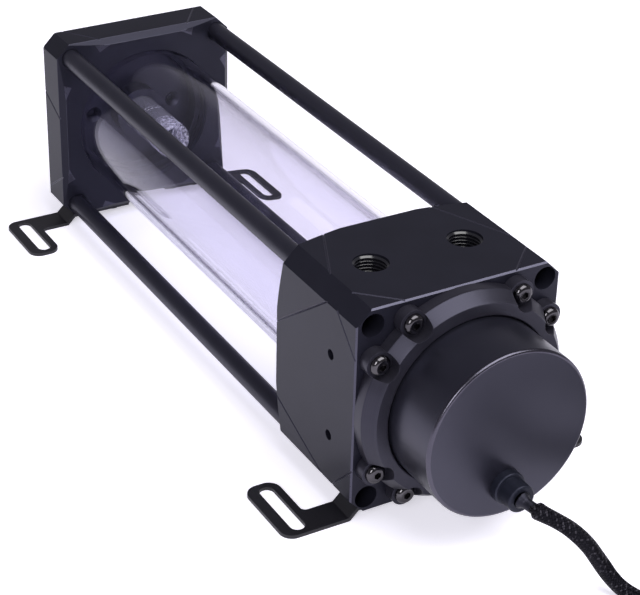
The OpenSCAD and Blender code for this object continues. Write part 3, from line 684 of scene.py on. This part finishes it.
# Deep-drawn stainless steel: bright and slightly brushed.
STEEL = Machined("cup_steel", "#a9abb1", 0.28, light="#bcbec4", metallic=1.0)
# Ground ceramic: cream, nearly polished.
CERAMIC = Machined("ceramic", "#d9d4c6", 0.12, light="#e4e0d4", grain_mm=0.1, depth_mm=0.001)
# Plastic-bonded ferrite: brown-grey and matt.
MAGNET = Machined("bonded_ferrite", "#35312f", 0.55, light="#403c39")
# Moulded acetal: off-white with a soft sheen.
VANES = Machined("impeller_plastic", "#bdbbb3", 0.4, light="#c9c7bf")
# Stacked steel sheets: grey and dull.
SHEETS = Machined("laminations", "#6c6e73", 0.4, light="#7d7f84", metallic=1.0)
# Enamelled copper wire: brown-red with a varnished shine.
COPPER = Machined("enamelled_copper", "#8a4a1f", 0.3, light="#a85c28", metallic=1.0)
# Solder mask on glass laminate: green under a clear gloss.
MASK = Machined("solder_mask", "#124a2c", 0.3, light="#175a36", coat=0.4)
# Matt studio paper: a pale floor that runs into the background.
PAPER = Paper("floor_paper", "#f2f0f9", 0.0, light="#f5f3fc")

# The finishes of the CAD nodes that keep their own mesh.
NODE_FINISHES: dict[Finish, tuple[str, ...]] = {
    RUBBER: ("tube_seal_front", "tube_seal_rear", "fill_plug_seal", "pump_seal"),
    SCREW: ("rod_screws_front", "rod_screws_rear"),
    NYLON: ("connector_housing", "cable_tie"),
    BRASS: ("connector_pins",),
    MOULDED: ("motor_housing",),
    STEEL: ("separator_cup",),
    CERAMIC: ("bearing_post",),
    MAGNET: ("magnet_rotor",),
    VANES: ("impeller",),
    SHEETS: ("stator_core",),
    COPPER: ("stator_coils",),
    MASK: ("circuit_board",),
}


def dress_nodes() -> None:
    """Gives every CAD node that keeps its own mesh its finish."""
    for finish, nodes in NODE_FINISHES.items():
        for node in nodes:
            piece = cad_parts[node]
            piece.data.materials.clear()
            piece.data.materials.append(finish.material())
            LOG.info("%s: %s", node, finish.name)


# ---------------------------------------------------------------- mesh helpers


def publish(name: str, work: bmesh.types.BMesh, finish: Finish, body: Body,
            stands_for: Sequence[str] = (), sharp_deg: float = 35.0,
            crisp: bool = True) -> bpy.types.Object:
    """Turns a bmesh into a finished piece that rides on a body.

    Args:
        name: the piece's name.
        work: the mesh, in metres in the row frame; it is freed.
        finish: its material.
        body: the body that it moves with.
        stands_for: CAD nodes that it replaces.
        sharp_deg: edges bent more than this stay sharp.
        crisp: keeps large flat faces evenly shaded.

    Returns:
        The new object.
    """
    bmesh.ops.recalc_face_normals(work, faces=work.faces)
    limit = math.radians(sharp_deg)
    for face in work.faces:
        face.smooth = True
    for edge in work.edges:
        edge.smooth = len(edge.link_faces) != 2 or edge.calc_face_angle(0.0) < limit
    mesh = bpy.data.meshes.new(name)
    work.to_mesh(mesh)
    work.free()
    mesh.materials.append(finish.material())
    piece = bpy.data.objects.new(name, mesh)
    bpy.context.scene.collection.objects.link(piece)
    if crisp:
        weighted = piece.modifiers.new("even_shading", "WEIGHTED_NORMAL")
        weighted.keep_sharp = True
    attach(piece, body.value)
    if stands_for:
        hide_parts(*stands_for)
    LOG.info("%s: %d faces", name, len(mesh.polygons))
    return piece


def merged_copy(node: str) -> bmesh.types.BMesh:
    """Copies a CAD node's mesh.

    Args:
        node: the node's name.

    Returns:
        The mesh as one welded surface with its flat faces joined.
    """
    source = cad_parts[node]
    work = bmesh.new()
    work.from_mesh(source.data)
    work.transform(source.matrix_world)
    bmesh.ops.remove_doubles(work, verts=work.verts, dist=WELD_MM * MM)
    bmesh.ops.dissolve_limit(work, angle_limit=math.radians(FLAT_DEG), verts=work.verts,
                             edges=work.edges)
    return work


def round_edges(work: bmesh.types.BMesh, width_mm: float, angle_deg: float = 28.0,
                segments: int = 2) -> None:
    """Rounds the edges of a mesh.

    Args:
        work: the mesh.
        width_mm: how much of each face the rounding takes.
        angle_deg: edges bent more than this are rounded.
        segments: faces across a rounding.
    """
    limit = math.radians(angle_deg)
    edges = [edge for edge in work.edges
             if len(edge.link_faces) == 2 and edge.calc_face_angle(0.0) > limit]
    bmesh.ops.bevel(work, geom=edges, offset=width_mm * MM, offset_type="OFFSET",
                    affect="EDGES", segments=segments, profile=0.5, material=-1,
                    clamp_overlap=True)


def softened(node: str, finish: Finish, width_mm: float,
             body: Body = Body.HOUSING) -> bpy.types.Object:
    """Puts a CAD node's shape with its edges broken in place of the node.

    Args:
        node: the node's name.
        finish: its material.
        width_mm: width of the broken edges.
        body: the body that it moves with.

    Returns:
        The new object.
    """
    work = merged_copy(node)
    round_edges(work, width_mm)
    return publish(f"{node}_finished", work, finish, body, (node,))


def paint(piece: bpy.types.Object, finish: Finish,
          wanted: Callable[[Vector], bool]) -> None:
    """Gives some of a piece's faces another finish.

    Args:
        piece: the piece.
        finish: the finish of those faces.
        wanted: whether a face with this middle gets it.
    """
    index = len(piece.data.materials)
    piece.data.materials.append(finish.material())
    for face in piece.data.polygons:
        if wanted(face.center):
            face.material_index = index


def revolved(profile: Sequence[tuple[float, float]], axis: Point, sides: int,
             closed: bool = False) -> bmesh.types.BMesh:
    """A profile turned round a line along X.

    Args:
        profile: [x, radius] points in metres, from one end to the other.
        axis: y and z of the line.
        sides: steps round the circle.
        closed: joins the last point back to the first.

    Returns:
        The turned surface.
    """
    work = bmesh.new()
    points = [work.verts.new((x, axis[0], axis[1] + radius)) for x, radius in profile]
    edges = [work.edges.new(pair) for pair in zip(points, points[1:])]
    if closed:
        edges.append(work.edges.new((points[-1], points[0])))
    bmesh.ops.spin(work, geom=points + edges, cent=(0, axis[0], axis[1]), axis=(1, 0, 0),
                   dvec=(0, 0, 0), angle=math.tau, steps=sides, use_merge=True)
    bmesh.ops.remove_doubles(work, verts=work.verts, dist=SEAM_MM * MM)
    return work


# ---------------------------------------------------------------- stage


@dataclass(frozen=True)
class Softbox:
    """One rectangular softbox.

    Attributes:
        name: the light's name.
        place: its middle, in metres.
        aim: the point that it faces, in metres.
        size: its width and height, in metres.
        power: watts.
    """

    name: str
    place: Point
    aim: Point
    size: Point
    power: float

    def build(self) -> None:
        """Hangs the softbox."""
        data = bpy.data.lights.new(self.name, "AREA")
        data.shape = "RECTANGLE"
        data.size, data.size_y = self.size
        data.energy = self.power
        light = bpy.data.objects.new(self.name, data)
        bpy.context.scene.collection.objects.link(light)
        light.location = self.place
        away = Vector(self.place) - Vector(self.aim)
        light.rotation_euler = away.to_track_quat("Z", "Y").to_euler()


@dataclass
class Stage:
    """Camera, floor and light.

    Attributes:
        position_mm: the camera's place.
        azimuth: its turn round the object, in degrees.
        elevation: its height above the horizon, in degrees.
        roll: its roll, in degrees.
        lens: its focal length, in millimetres.
        sensor: width of its sensor, in millimetres.
        shift: sideways and upward shift of the view.
        clip: nearest and farthest distance in view, in metres.
        floor_half: half the floor's width, in metres.
        softboxes: the lamps.
        surround: strength of the light from all round.
        low_tone: its colour below and at the horizon.
        high_tone: its colour overhead.
        tone_change: heights, of 1 overhead, at which the change starts and ends.
    """

    position_mm: Point = (600.9, -330.3, 411.3)
    azimuth: float = 60.18
    elevation: float = 29.45
    roll: float = 1.22
    lens: float = 108.1
    sensor: float = 36.0
    shift: Point = (0.0297, -0.0341)
    clip: Point = (0.01, 20.0)
    floor_half: float = 6.0
    softboxes: Sequence[Softbox] = (
        Softbox("overhead", (0.62, 0.3, 1.3), (0.05, 0.0, 0.0), (1.4, 1.2), 22.0),
        Softbox("front_left", (1.05, -1.0, 0.82), (0.1, 0.0, 0.05), (0.5, 0.7), 9.0),
    )
    surround: float = 0.28
    low_tone: str = "#f4f1fc"
    high_tone: str = "#c8c6d2"
    tone_change: Point = (0.37, 0.46)

    def camera(self) -> None:
        """Places the camera."""
        turn, rise, roll = (math.radians(v) for v in (self.azimuth, self.elevation, self.roll))
        back = Vector((math.sin(turn) * math.cos(rise), -math.cos(turn) * math.cos(rise),
                       math.sin(rise)))
        level = Vector((math.cos(turn), math.sin(turn), 0))
        upright = back.cross(level)
        right = level * math.cos(roll) + upright * math.sin(roll)
        up = back.cross(right)
        data = bpy.data.cameras.new("camera")
        data.lens = self.lens
        data.sensor_width = self.sensor
        data.shift_x, data.shift_y = self.shift
        data.clip_start, data.clip_end = self.clip
        camera = bpy.data.objects.new("camera", data)
        bpy.context.scene.collection.objects.link(camera)
        place = Matrix((right, up, back)).transposed().to_4x4()
        place.translation = Vector(self.position_mm) * MM
        camera.matrix_world = place
        bpy.context.scene.camera = camera
        LOG.info("camera placed")

    def floor(self) -> None:
        """A wide pale floor that keeps the object's shadow."""
        work = bmesh.new()
        bmesh.ops.create_grid(work, x_segments=1, y_segments=1, size=self.floor_half)
        mesh = bpy.data.meshes.new("floor")
        work.to_mesh(mesh)
        work.free()
        mesh.materials.append(PAPER.material())
        floor = bpy.data.objects.new("floor", mesh)
        bpy.context.scene.collection.objects.link(floor)
        LOG.info("floor laid")

    def world(self) -> None:
        """Even surrounding light, paler towards the horizon than overhead."""
        world = bpy.data.worlds.new("studio")
        world.use_nodes = True
        tree = world.node_tree
        tree.nodes.clear()
        direction = add(tree, Kind.PLACE).outputs["Generated"]
        height = add(tree, Kind.SEPARATE, {0: direction}).outputs["Z"]
        starts, ends = self.tone_change
        tone = add(tree, Kind.RAMP, {"Fac": height},
                   stops=[(starts, self.low_tone), (ends, self.high_tone)])
        light = add(tree, Kind.BACKGROUND, {"Color": tone, "Strength": self.surround})
        add(tree, Kind.WORLD, {"Surface": light})
        bpy.context.scene.world = world

    def build(self) -> None:
        """Builds the whole stage."""
        self.camera()
        self.floor()
        for softbox in self.softboxes:
            softbox.build()
        self.world()
        bpy.context.scene.view_settings.view_transform = "Standard"


# ---------------------------------------------------------------- lead


@dataclass
class Lead:
    """The sleeved lead: from the grommet to the floor, two turns of coil, and a connector.

    Attributes:
        diameter: sleeve diameter, in metres.
        bare: length of plain cable between the grommet and the sleeve, in metres.
        cable_r: radius of the plain cable, in metres.
        flare: how much thicker the cable is where it leaves the grommet, in metres.
        flare_length: length of cable over which that goes, in metres.
        hem: the sleeve's rolled end, as a share of its radius.
        hem_length: length of the roll, in metres.
        mean_r: the sleeve's mean radius behind the roll, as a share.
        wires: wires under the sleeve.
        wire_swell: how far they push it out, as a share of its radius.
        wire_lay: length in which they turn by one radian, in metres.
        lump_swell: height of the sleeve's lumps, as a share of its radius.
        lump_lengths: lengths of its two kinds of lump, per radian, in metres.
        sides: steps round the sleeve.
        spacing: longest step along it, in millimetres.
        pump_side: x of the plane that the route's first column counts from, in metres.
        coil_middle: middle of the coil, in millimetres from that plane.
        coil_start: direction in which the route meets the coil, in degrees.
        coil_outer: radius of the outer turn, in millimetres.
        coil_step: how much smaller the inner turn is, in millimetres.
        coil_height: height of the coil's centreline, in millimetres.
        coil_turns: turns round the coil.
        coil_points: points in one turn.
        step_at: share of the first turn after which the lead steps inwards.
        route: from the grommet to the coil, in millimetres from the pump's side.
        tail: from the coil to the connector, in millimetres from the coil's middle.
    """

    diameter: float = 6 * MM
    bare: float = 5.4 * MM
    cable_r: float = 2.0 * MM
    flare: float = 1.2 * MM
    flare_length: float = 1.3 * MM
    hem: float = 1.06
    hem_length: float = 1.6 * MM
    mean_r: float = 0.945
    wires: int = 4
    wire_swell: float = 0.03
    wire_lay: float = 9 * MM
    lump_swell: float = 0.012
    lump_lengths: Point = (3.7 * MM, 2.3 * MM)
    sides: int = 32
    spacing: float = 0.9
    pump_side: float = 0.135
    coil_middle: Point = (97.0, 70.3)
    coil_start: float = -62.0
    coil_outer: float = 36.0
    coil_step: float = 6.0
    coil_height: float = 3.8
    coil_turns: float = 1.8
    coil_points: int = 48
    step_at: float = 0.78
    route: Sequence[Point] = (
        (43.5, 0, 26.2), (47.6, 1.1, 25.5), (51, 3, 24.5), (55, 5.7, 23.4), (59, 8.4, 21.9),
        (62.5, 10.8, 19.6), (65.2, 13, 16.6), (67.2, 15, 13), (69.2, 16.8, 9.5),
        (72, 18.4, 6.3), (75.8, 19.9, 4.1), (80.5, 21.7, 3.1), (87, 24.6, 3),
        (95.5, 28.7, 3.1), (105, 33.6, 3.5), (114, 38.4, 3.8),
    )
    tail: Sequence[Point] = (
        (-21, -21.5, 3.8), (-12.5, -25.4, 3.8), (-3.8, -26.7, 3.7), (4.5, -25.2, 3.5),
        (11.5, -21.2, 3.3), (16.3, -15.2, 3.1), (18.5, -7.8, 3), (18, 0, 3), (14.8, 6.7, 3),
        (9.5, 11.3, 3), (3.5, 14, 3),
    )

    def coil(self) -> list[Vector]:
        """Lays the flat coil: two turns side by side, joined by one easy step.

        Returns:
            Its points, in millimetres.
        """
        points = []
        for i in range(1, int(self.coil_turns * self.coil_points)):
            turn = i / self.coil_points
            ease = min(max((turn - self.step_at) / (1 - self.step_at), 0.0), 1.0)
            radius = self.coil_outer - self.coil_step * ease * ease * (3 - 2 * ease)
            angle = math.radians(self.coil_start) + math.tau * turn
            points.append(Vector((self.coil_middle[0] + radius * math.cos(angle),
                                  self.coil_middle[1] + radius * math.sin(angle),
                                  self.coil_height)))
        return points

    def centreline(self) -> list[Vector]:
        """Joins route, coil and tail by one smooth curve through all their points.

        Returns:
            The lead's whole centreline, in metres.
        """
        middle = Vector((*self.coil_middle, 0))
        points = [Vector(p) for p in self.route] + self.coil()
        points += [Vector(p) + middle for p in self.tail]
        dense: list[Vector] = []
        for i in range(len(points) - 1):
            before, a, b, after = (points[max(i - 1, 0)], points[i], points[i + 1],
                                   points[min(i + 2, len(points) - 1)])
            steps = max(2, round((b - a).length / self.spacing))
            for k in range(steps):
                t = k / steps
                dense.append(0.5 * (2 * a + (b - before) * t
                                    + (2 * before - 5 * a + 4 * b - after) * t * t
                                    + (3 * a - before - 3 * b + after) * t ** 3))
        dense.append(points[-1])
        return [p * MM + Vector((self.pump_side, 0, 0)) for p in dense]

    def radius_at(self, along: float, angle: float) -> float:
        """Works out the lead's outline: plain cable, a rolled end, then a lumpy sleeve.

        Args:
            along: distance from the grommet, in metres.
            angle: direction round the lead, in radians.

        Returns:
            The radius there, in metres.
        """
        full = self.diameter / 2
        roll = (along - self.bare) / self.hem_length
        if roll <= 0:
            return self.cable_r + self.flare * math.exp(-(along / self.flare_length) ** 4)
        if roll < 1:
            return self.cable_r + (self.hem * full - self.cable_r) * math.sqrt(
                math.sin(0.5 * math.pi * roll))
        wires = math.cos(self.wires * angle + along / self.wire_lay)
        straight, winding = self.lump_lengths
        lumps = math.sin(along / straight) + math.sin(along / winding + 2 * angle)
        fade = math.exp(1 - roll)
        swell = self.mean_r + self.wire_swell * wires + self.lump_swell * lumps
        return full * swell * (1 - fade) + self.hem * full * fade

    def sleeve(self, line: Sequence[Vector]) -> bpy.types.Object:
        """Draws the lead along its line, with a UV map of turns round and metres along.

        Args:
            line: the centreline, in metres.

        Returns:
            The finished lead.
        """
        work = bmesh.new()
        uv = work.loops.layers.uv.new("sleeve")
        lengths = [0.0]
        for a, b in zip(line, line[1:]):
            lengths.append(lengths[-1] + (b - a).length)
        bmesh.ops.create_circle(work, segments=self.sides, radius=self.diameter / 2,
                                cap_ends=False)
        edges = list(work.edges)
        rings = [self.in_order(edges)]
        for _ in line[1:]:
            made = bmesh.ops.extrude_edge_only(work, edges=edges)["geom"]
            edges = [item for item in made if isinstance(item, bmesh.types.BMEdge)
                     and all(vert not in rings[-1] for vert in item.verts)]
            rings.append(self.in_order(edges))
        place_of: dict[bmesh.types.BMVert, tuple[float, float]] = {}
        for k, ring in enumerate(rings):
            ahead = (line[min(k + 1, len(line) - 1)] - line[max(k - 1, 0)]).normalized()
            aside = ahead.cross(Vector((0, 0, 1))).normalized()
            up = aside.cross(ahead)
            for j, vert in enumerate(ring):
                angle = math.tau * j / self.sides
                vert.co = line[k] + self.radius_at(lengths[k], angle) * (
                    math.cos(angle) * aside + math.sin(angle) * up)
                place_of[vert] = (j / self.sides, lengths[k])
        for face in work.faces:
            wraps = {place_of[loop.vert][0] for loop in face.loops}
            seam = 0.0 in wraps and max(wraps) > 0.5
            for loop in face.loops:
                u, v = place_of[loop.vert]
                loop[uv].uv = (1.0 if seam and u == 0.0 else u, v)
        bmesh.ops.holes_fill(work, edges=[e for e in work.edges if e.is_boundary], sides=0)
        lead = publish("lead_sleeve", work, SLEEVE, Body.HOUSING,
                       ("cable_lead", "cable_coil", "cable_tail"), sharp_deg=60, crisp=False)
        paint(lead, WIRE, lambda c: (c - line[0]).length < self.bare)
        return lead

    @staticmethod
    def in_order(edges: Sequence[bmesh.types.BMEdge]) -> list[bmesh.types.BMVert]:
        """Follows a closed ring of edges.

        Args:
            edges: the ring's edges, in any order.

        Returns:
            Its vertices, in order round the ring.
        """
        by_vert: dict[bmesh.types.BMVert, list[bmesh.types.BMEdge]] = {}
        for edge in edges:
            for vert in edge.verts:
                by_vert.setdefault(vert, []).append(edge)
        vert = edges[0].verts[0]
        edge = edges[0]
        ring = []
        for _ in edges:
            ring.append(vert)
            vert = edge.other_vert(vert)
            edge = next(e for e in by_vert[vert] if e is not edge)
        return ring

    def build(self) -> None:
        line = self.centreline()
        sleeve = self.sleeve(line)


# ---------------------------------------------------------------- pieces


@dataclass
class Reservoir:
    """Tube, riser and tie rods. Lengths are in metres.

    Attributes:
        wall: thickness of the tube.
        tube_edge: width of its broken edges.
        bore: the riser's inner radius.
        mouth: width of the rounding at its mouth.
        rounding: where the rounding's middle point lies, as a share of its width.
        thread_pitch: distance between the grooves inside it.
        thread_depth: their depth.
        thread_grooves: how many there are.
        marks_back: distances of its two turned marks from the mouth.
        mark_width: width of a mark.
        mark_depth: depth of a mark.
        rod_edge: width of the rods' chamfers.
    """

    wall: float = 2.5 * MM
    tube_edge: float = 0.3 * MM
    bore: float = 5.5 * MM
    mouth: float = 0.5 * MM
    rounding: float = 0.3
    thread_pitch: float = 1.34 * MM
    thread_depth: float = 0.6 * MM
    thread_grooves: int = 8
    marks_back: Point = (21.5 * MM, 19.6 * MM)
    mark_width: float = 0.5 * MM
    mark_depth: float = 0.16 * MM
    rod_edge: float = 0.4 * MM

    def tube(self) -> None:
        """The clear tube, as one closed wall."""
        low, high = box_of("reservoir_tube")
        radius, edge = (high.y - low.y) / 2, self.tube_edge
        inner = radius - self.wall
        profile = [
            (low.x, inner + edge), (low.x, radius - edge), (low.x + edge, radius),
            (high.x - edge, radius), (high.x, radius - edge), (high.x, inner + edge),
            (high.x - edge, inner), (low.x + edge, inner),
        ]
        work = revolved(profile, (0, (low.z + high.z) / 2), sides=192, closed=True)
        publish("reservoir_tube_clear", work, CLEAR, Body.HOUSING,
                ("reservoir_tube",), crisp=False)

    def riser(self) -> None:
        """The clear riser: a rounded mouth, a thread inside it and two turned marks."""
        low, high = box_of("riser_tube")
        radius, middle = (high.y - low.y) / 2, (low.z + high.z) / 2
        bore, edge, corner = self.bore, self.mouth, self.rounding * self.mouth
        marks = [high.x - back for back in self.marks_back]
        profile = [(low.x, bore), (low.x, radius)]
        for x in marks:
            profile += [(x, radius), (x + self.mark_width / 2, radius - self.mark_depth),
                        (x + self.mark_width, radius)]
        profile += [
            (high.x - edge, radius), (high.x - corner, radius - corner),
            (high.x, radius - edge), (high.x, bore + edge), (high.x - edge, bore),
        ]
        thread_start = high.x - 2 * edge
        for i in range(self.thread_grooves):
            start = thread_start - i * self.thread_pitch
            profile += [(start, bore), (start - self.thread_pitch / 2, bore + self.thread_depth)]
        thread_end = thread_start - self.thread_grooves * self.thread_pitch
        profile.append((thread_end, bore))
        work = revolved(profile, (0, middle), sides=96, closed=True)
        riser = publish("riser_tube_clear", work, RISER, Body.HOUSING,
                        ("riser_tube",), sharp_deg=25, crisp=False)
        end_face = high.x - 0.1 * edge
        thread_r = bore + 0.9 * self.thread_depth
        mark_r = radius - 0.2 * self.mark_depth

        def rough(place: Vector) -> bool:
            """Whether the riser is cut, and not polished, at this place."""
            away = off_axis(place, middle)
            return (place.x > end_face
                    or (place.x > thread_end and away < thread_r)
                    or (marks[0] < place.x < marks[1] + self.mark_width
                        and bore + edge < away < mark_r))

        paint(riser, SAWN, rough)

    def rods(self) -> None:
        """The four tie rods with faint chamfers at their ends."""
        for name in ("upper_left", "upper_right", "lower_left", "lower_right"):
            node = f"tie_rod_{name}"
            low, high = box_of(node)
            radius, edge = (high.y - low.y) / 2, self.rod_edge
            profile = [(low.x, 0), (low.x, radius - edge), (low.x + edge, radius),
                       (high.x - edge, radius), (high.x, radius - edge), (high.x, 0)]
            middle = (low + high) / 2
            work = revolved(profile, (middle.y, middle.z), sides=64)
            publish(f"{node}_finished", work, ROD, Body.HOUSING, (node,),
                    crisp=False)

    def build(self) -> None:
        """Builds tube, riser and rods."""
        self.tube()
        self.riser()
        self.rods()


@dataclass
class Ends:
    """Pump block and rear cap, the threads of the ports and the fill plug.

    Lengths are in metres, but for the widths of broken edges, which are in millimetres.

    Attributes:
        edge_mm: broken edges of block and cap.
        cut: depths under a face between which its broken edges and lines lie and get a painted
            highlight.
        chamber_r: radius within which the cap's inner side is turned.
        chamber_floor: height of the turned part's floor over the cap's back.
        chamber_rim: how far under the cap's inner face the turned part starts.
        hole_floor: height over the cap's back above which the blind holes lie.
        hole_y: distance of the two blind holes from the axis.
        hole_r: their radius.
        hole_mouth: radius of their countersink.
        port_y: distance of the ports from the middle of the block.
        port_back: their distance from the block's pump side.
        port_r: radius at the bottom of their thread.
        port_depth: depth at which the thread starts.
        pitch: its pitch.
        depth: height of its ridge.
        turns: turns of the ridge.
        sides: steps in one turn.
        ridge: its section, as shares of its height and its pitch.
        plug_edge_mm: broken edges of the fill plug.
    """

    edge_mm: float = 0.26
    cut: Point = (0.02 * MM, 0.4 * MM)
    chamber_r: float = 28.5 * MM
    chamber_floor: float = 4 * MM
    chamber_rim: float = 0.4 * MM
    hole_floor: float = 5 * MM
    hole_y: float = 19.5 * MM
    hole_r: float = 1.75 * MM
    hole_mouth: float = 3.7 * MM
    port_y: float = 19.5 * MM
    port_back: float = 27.8 * MM
    port_r: float = 6.57 * MM
    port_depth: float = 10.6 * MM
    pitch: float = 1.337 * MM
    depth: float = 0.78 * MM
    turns: int = 7
    sides: int = 64
    ridge: Sequence[Point] = ((0, 0.0), (1, 0.38), (1, 0.5), (0, 0.88))
    plug_edge_mm: float = 0.2

    def milled(self, node: str) -> bpy.types.Object:
        """Builds block or cap, with a painted highlight on the broken edges and lines just under
        its outer faces.

        Args:
            node: the CAD node.

        Returns:
            The finished piece.
        """
        piece = softened(node, BLOCK, self.edge_mm)
        low, high = box_of(node)
        least, most = self.cut

        def under_face_highlight(place: Vector) -> bool:
            """Whether a place lies just under the top, a side or the front face."""
            depths = (high.z - place.z, place.y - low.y, high.y - place.y, high.x - place.x)
            return any(least < depth < most for depth in depths)

        # Painted highlight: edges and engraved lines just under the outer faces get the paler
        # finish.
        paint(piece, EDGE_HIGHLIGHT, under_face_highlight)
        return piece

    def cap_inside(self, cap: bpy.types.Object) -> None:
        """Dresses the cap's chamber, paints shade into its two blind holes and paints a
        highlight on their countersinks.

        Args:
            cap: the finished cap.
        """
        low, high = box_of("rear_cap")
        middle = (low.z + high.z) / 2
        chamber = (low.x + self.chamber_floor, high.x - self.chamber_rim)
        holes_from = low.x + self.hole_floor

        def off_hole(place: Vector) -> float:
            """Distance from the nearer blind hole's axis."""
            return math.hypot(abs(place.y) - self.hole_y, place.z - middle)

        paint(cap, CHAMBER, lambda c: chamber[0] < c.x < chamber[1]
              and off_axis(c, middle) < self.chamber_r)
        # Painted highlight: the countersinks round the holes get the paler anodised finish, as
        # if they caught the light.
        paint(cap, ANODISED, lambda c: c.x > holes_from
              and self.hole_r < off_hole(c) < self.hole_mouth)
        # Painted shade: the holes themselves are near black.
        paint(cap, SHADOWED, lambda c: c.x > holes_from and off_hole(c) <= self.hole_r)

    def threads(self) -> None:
        """The internal thread ridges of the two ports, as helices."""
        _, high = box_of("pump_block")
        centre_x, bottom = high.x - self.port_back, high.z - self.port_depth
        for side, y in (("left", -self.port_y), ("right", self.port_y)):
            work = bmesh.new()
            points = [work.verts.new((centre_x + self.port_r - share * self.depth, y,
                                      bottom + rise * self.pitch))
                      for share, rise in self.ridge]
            edges = [work.edges.new((points[i], points[(i + 1) % len(points)]))
                     for i in range(len(points))]
            bmesh.ops.spin(work, geom=points + edges, cent=(centre_x, y, 0), axis=(0, 0, 1),
                           dvec=(0, 0, self.pitch / self.sides), angle=math.tau * self.turns,
                           steps=self.sides * self.turns, use_merge=False)
            bmesh.ops.holes_fill(work, edges=[e for e in work.edges if e.is_boundary], sides=0)
            publish(f"port_thread_{side}", work, THREAD, Body.HOUSING,
                    sharp_deg=50)

    def build(self) -> None:
        """Builds block, cap, threads and plug."""
        self.milled("pump_block")
        self.cap_inside(self.milled("rear_cap"))
        self.threads()
        softened("fill_plug", ANODISED, self.plug_edge_mm, Body.PLUG)


@dataclass
class Pump:
    """Clamp ring, its screws, the cover and the cable grommet.

    Attributes:
        ring_edge_mm: broken edges of the ring.
        fine_edge_mm: broken edges of screws and cover.
        grommet_edge_mm: broken edges of the grommet.
        cover_r: the cover's radius at its front, in metres.
        cover_rounding: width of its rounded rim, in metres.
    """

    ring_edge_mm: float = 0.2
    fine_edge_mm: float = 0.1
    grommet_edge_mm: float = 0.15
    cover_r: float = 32.7 * MM
    cover_rounding: float = 1.2 * MM

    def cover(self) -> None:
        """The pump cover with its bright rim."""
        cover = softened("pump_cover", COVER, self.fine_edge_mm)
        low, high = box_of("pump_cover")
        middle = (low.z + high.z) / 2
        rim_x, rim_r = high.x - self.cover_rounding, self.cover_r - self.cover_rounding
        paint(cover, COVER_EDGE, lambda c: c.x > rim_x and off_axis(c, middle) > rim_r)

    def build(self) -> None:
        """Builds the pump's outside."""
        softened("clamp_ring", RING, self.ring_edge_mm)
        softened("ring_screws", SCREW, self.fine_edge_mm)
        self.cover()
        softened("cable_grommet", RUBBER, self.grommet_edge_mm)


@dataclass
class Feet:
    """The four bent feet and their screws.

    Attributes:
        edge_mm: broken edges of the sheet.
        screw_edge_mm: broken edges of the screws.
    """

    edge_mm: float = 0.2
    screw_edge_mm: float = 0.1

    def build(self) -> None:
        """Builds the feet."""
        for place in ("front_left", "front_right", "rear_left", "rear_right"):
            softened(f"foot_{place}", POWDER, self.edge_mm)
        softened("foot_screws", SCREW, self.screw_edge_mm)


def main() -> None:
    """Builds the scene."""
    logging.basicConfig(level=logging.INFO, format="%(message)s")
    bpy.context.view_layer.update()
    makers: list[Callable[[], None]] = [
        Stage().build, Lead().build, Reservoir().build, Ends().build, Pump().build,
        Feet().build, dress_nodes,
    ]
    for make in makers:
        make()


if __name__ == "__main__":
    main()
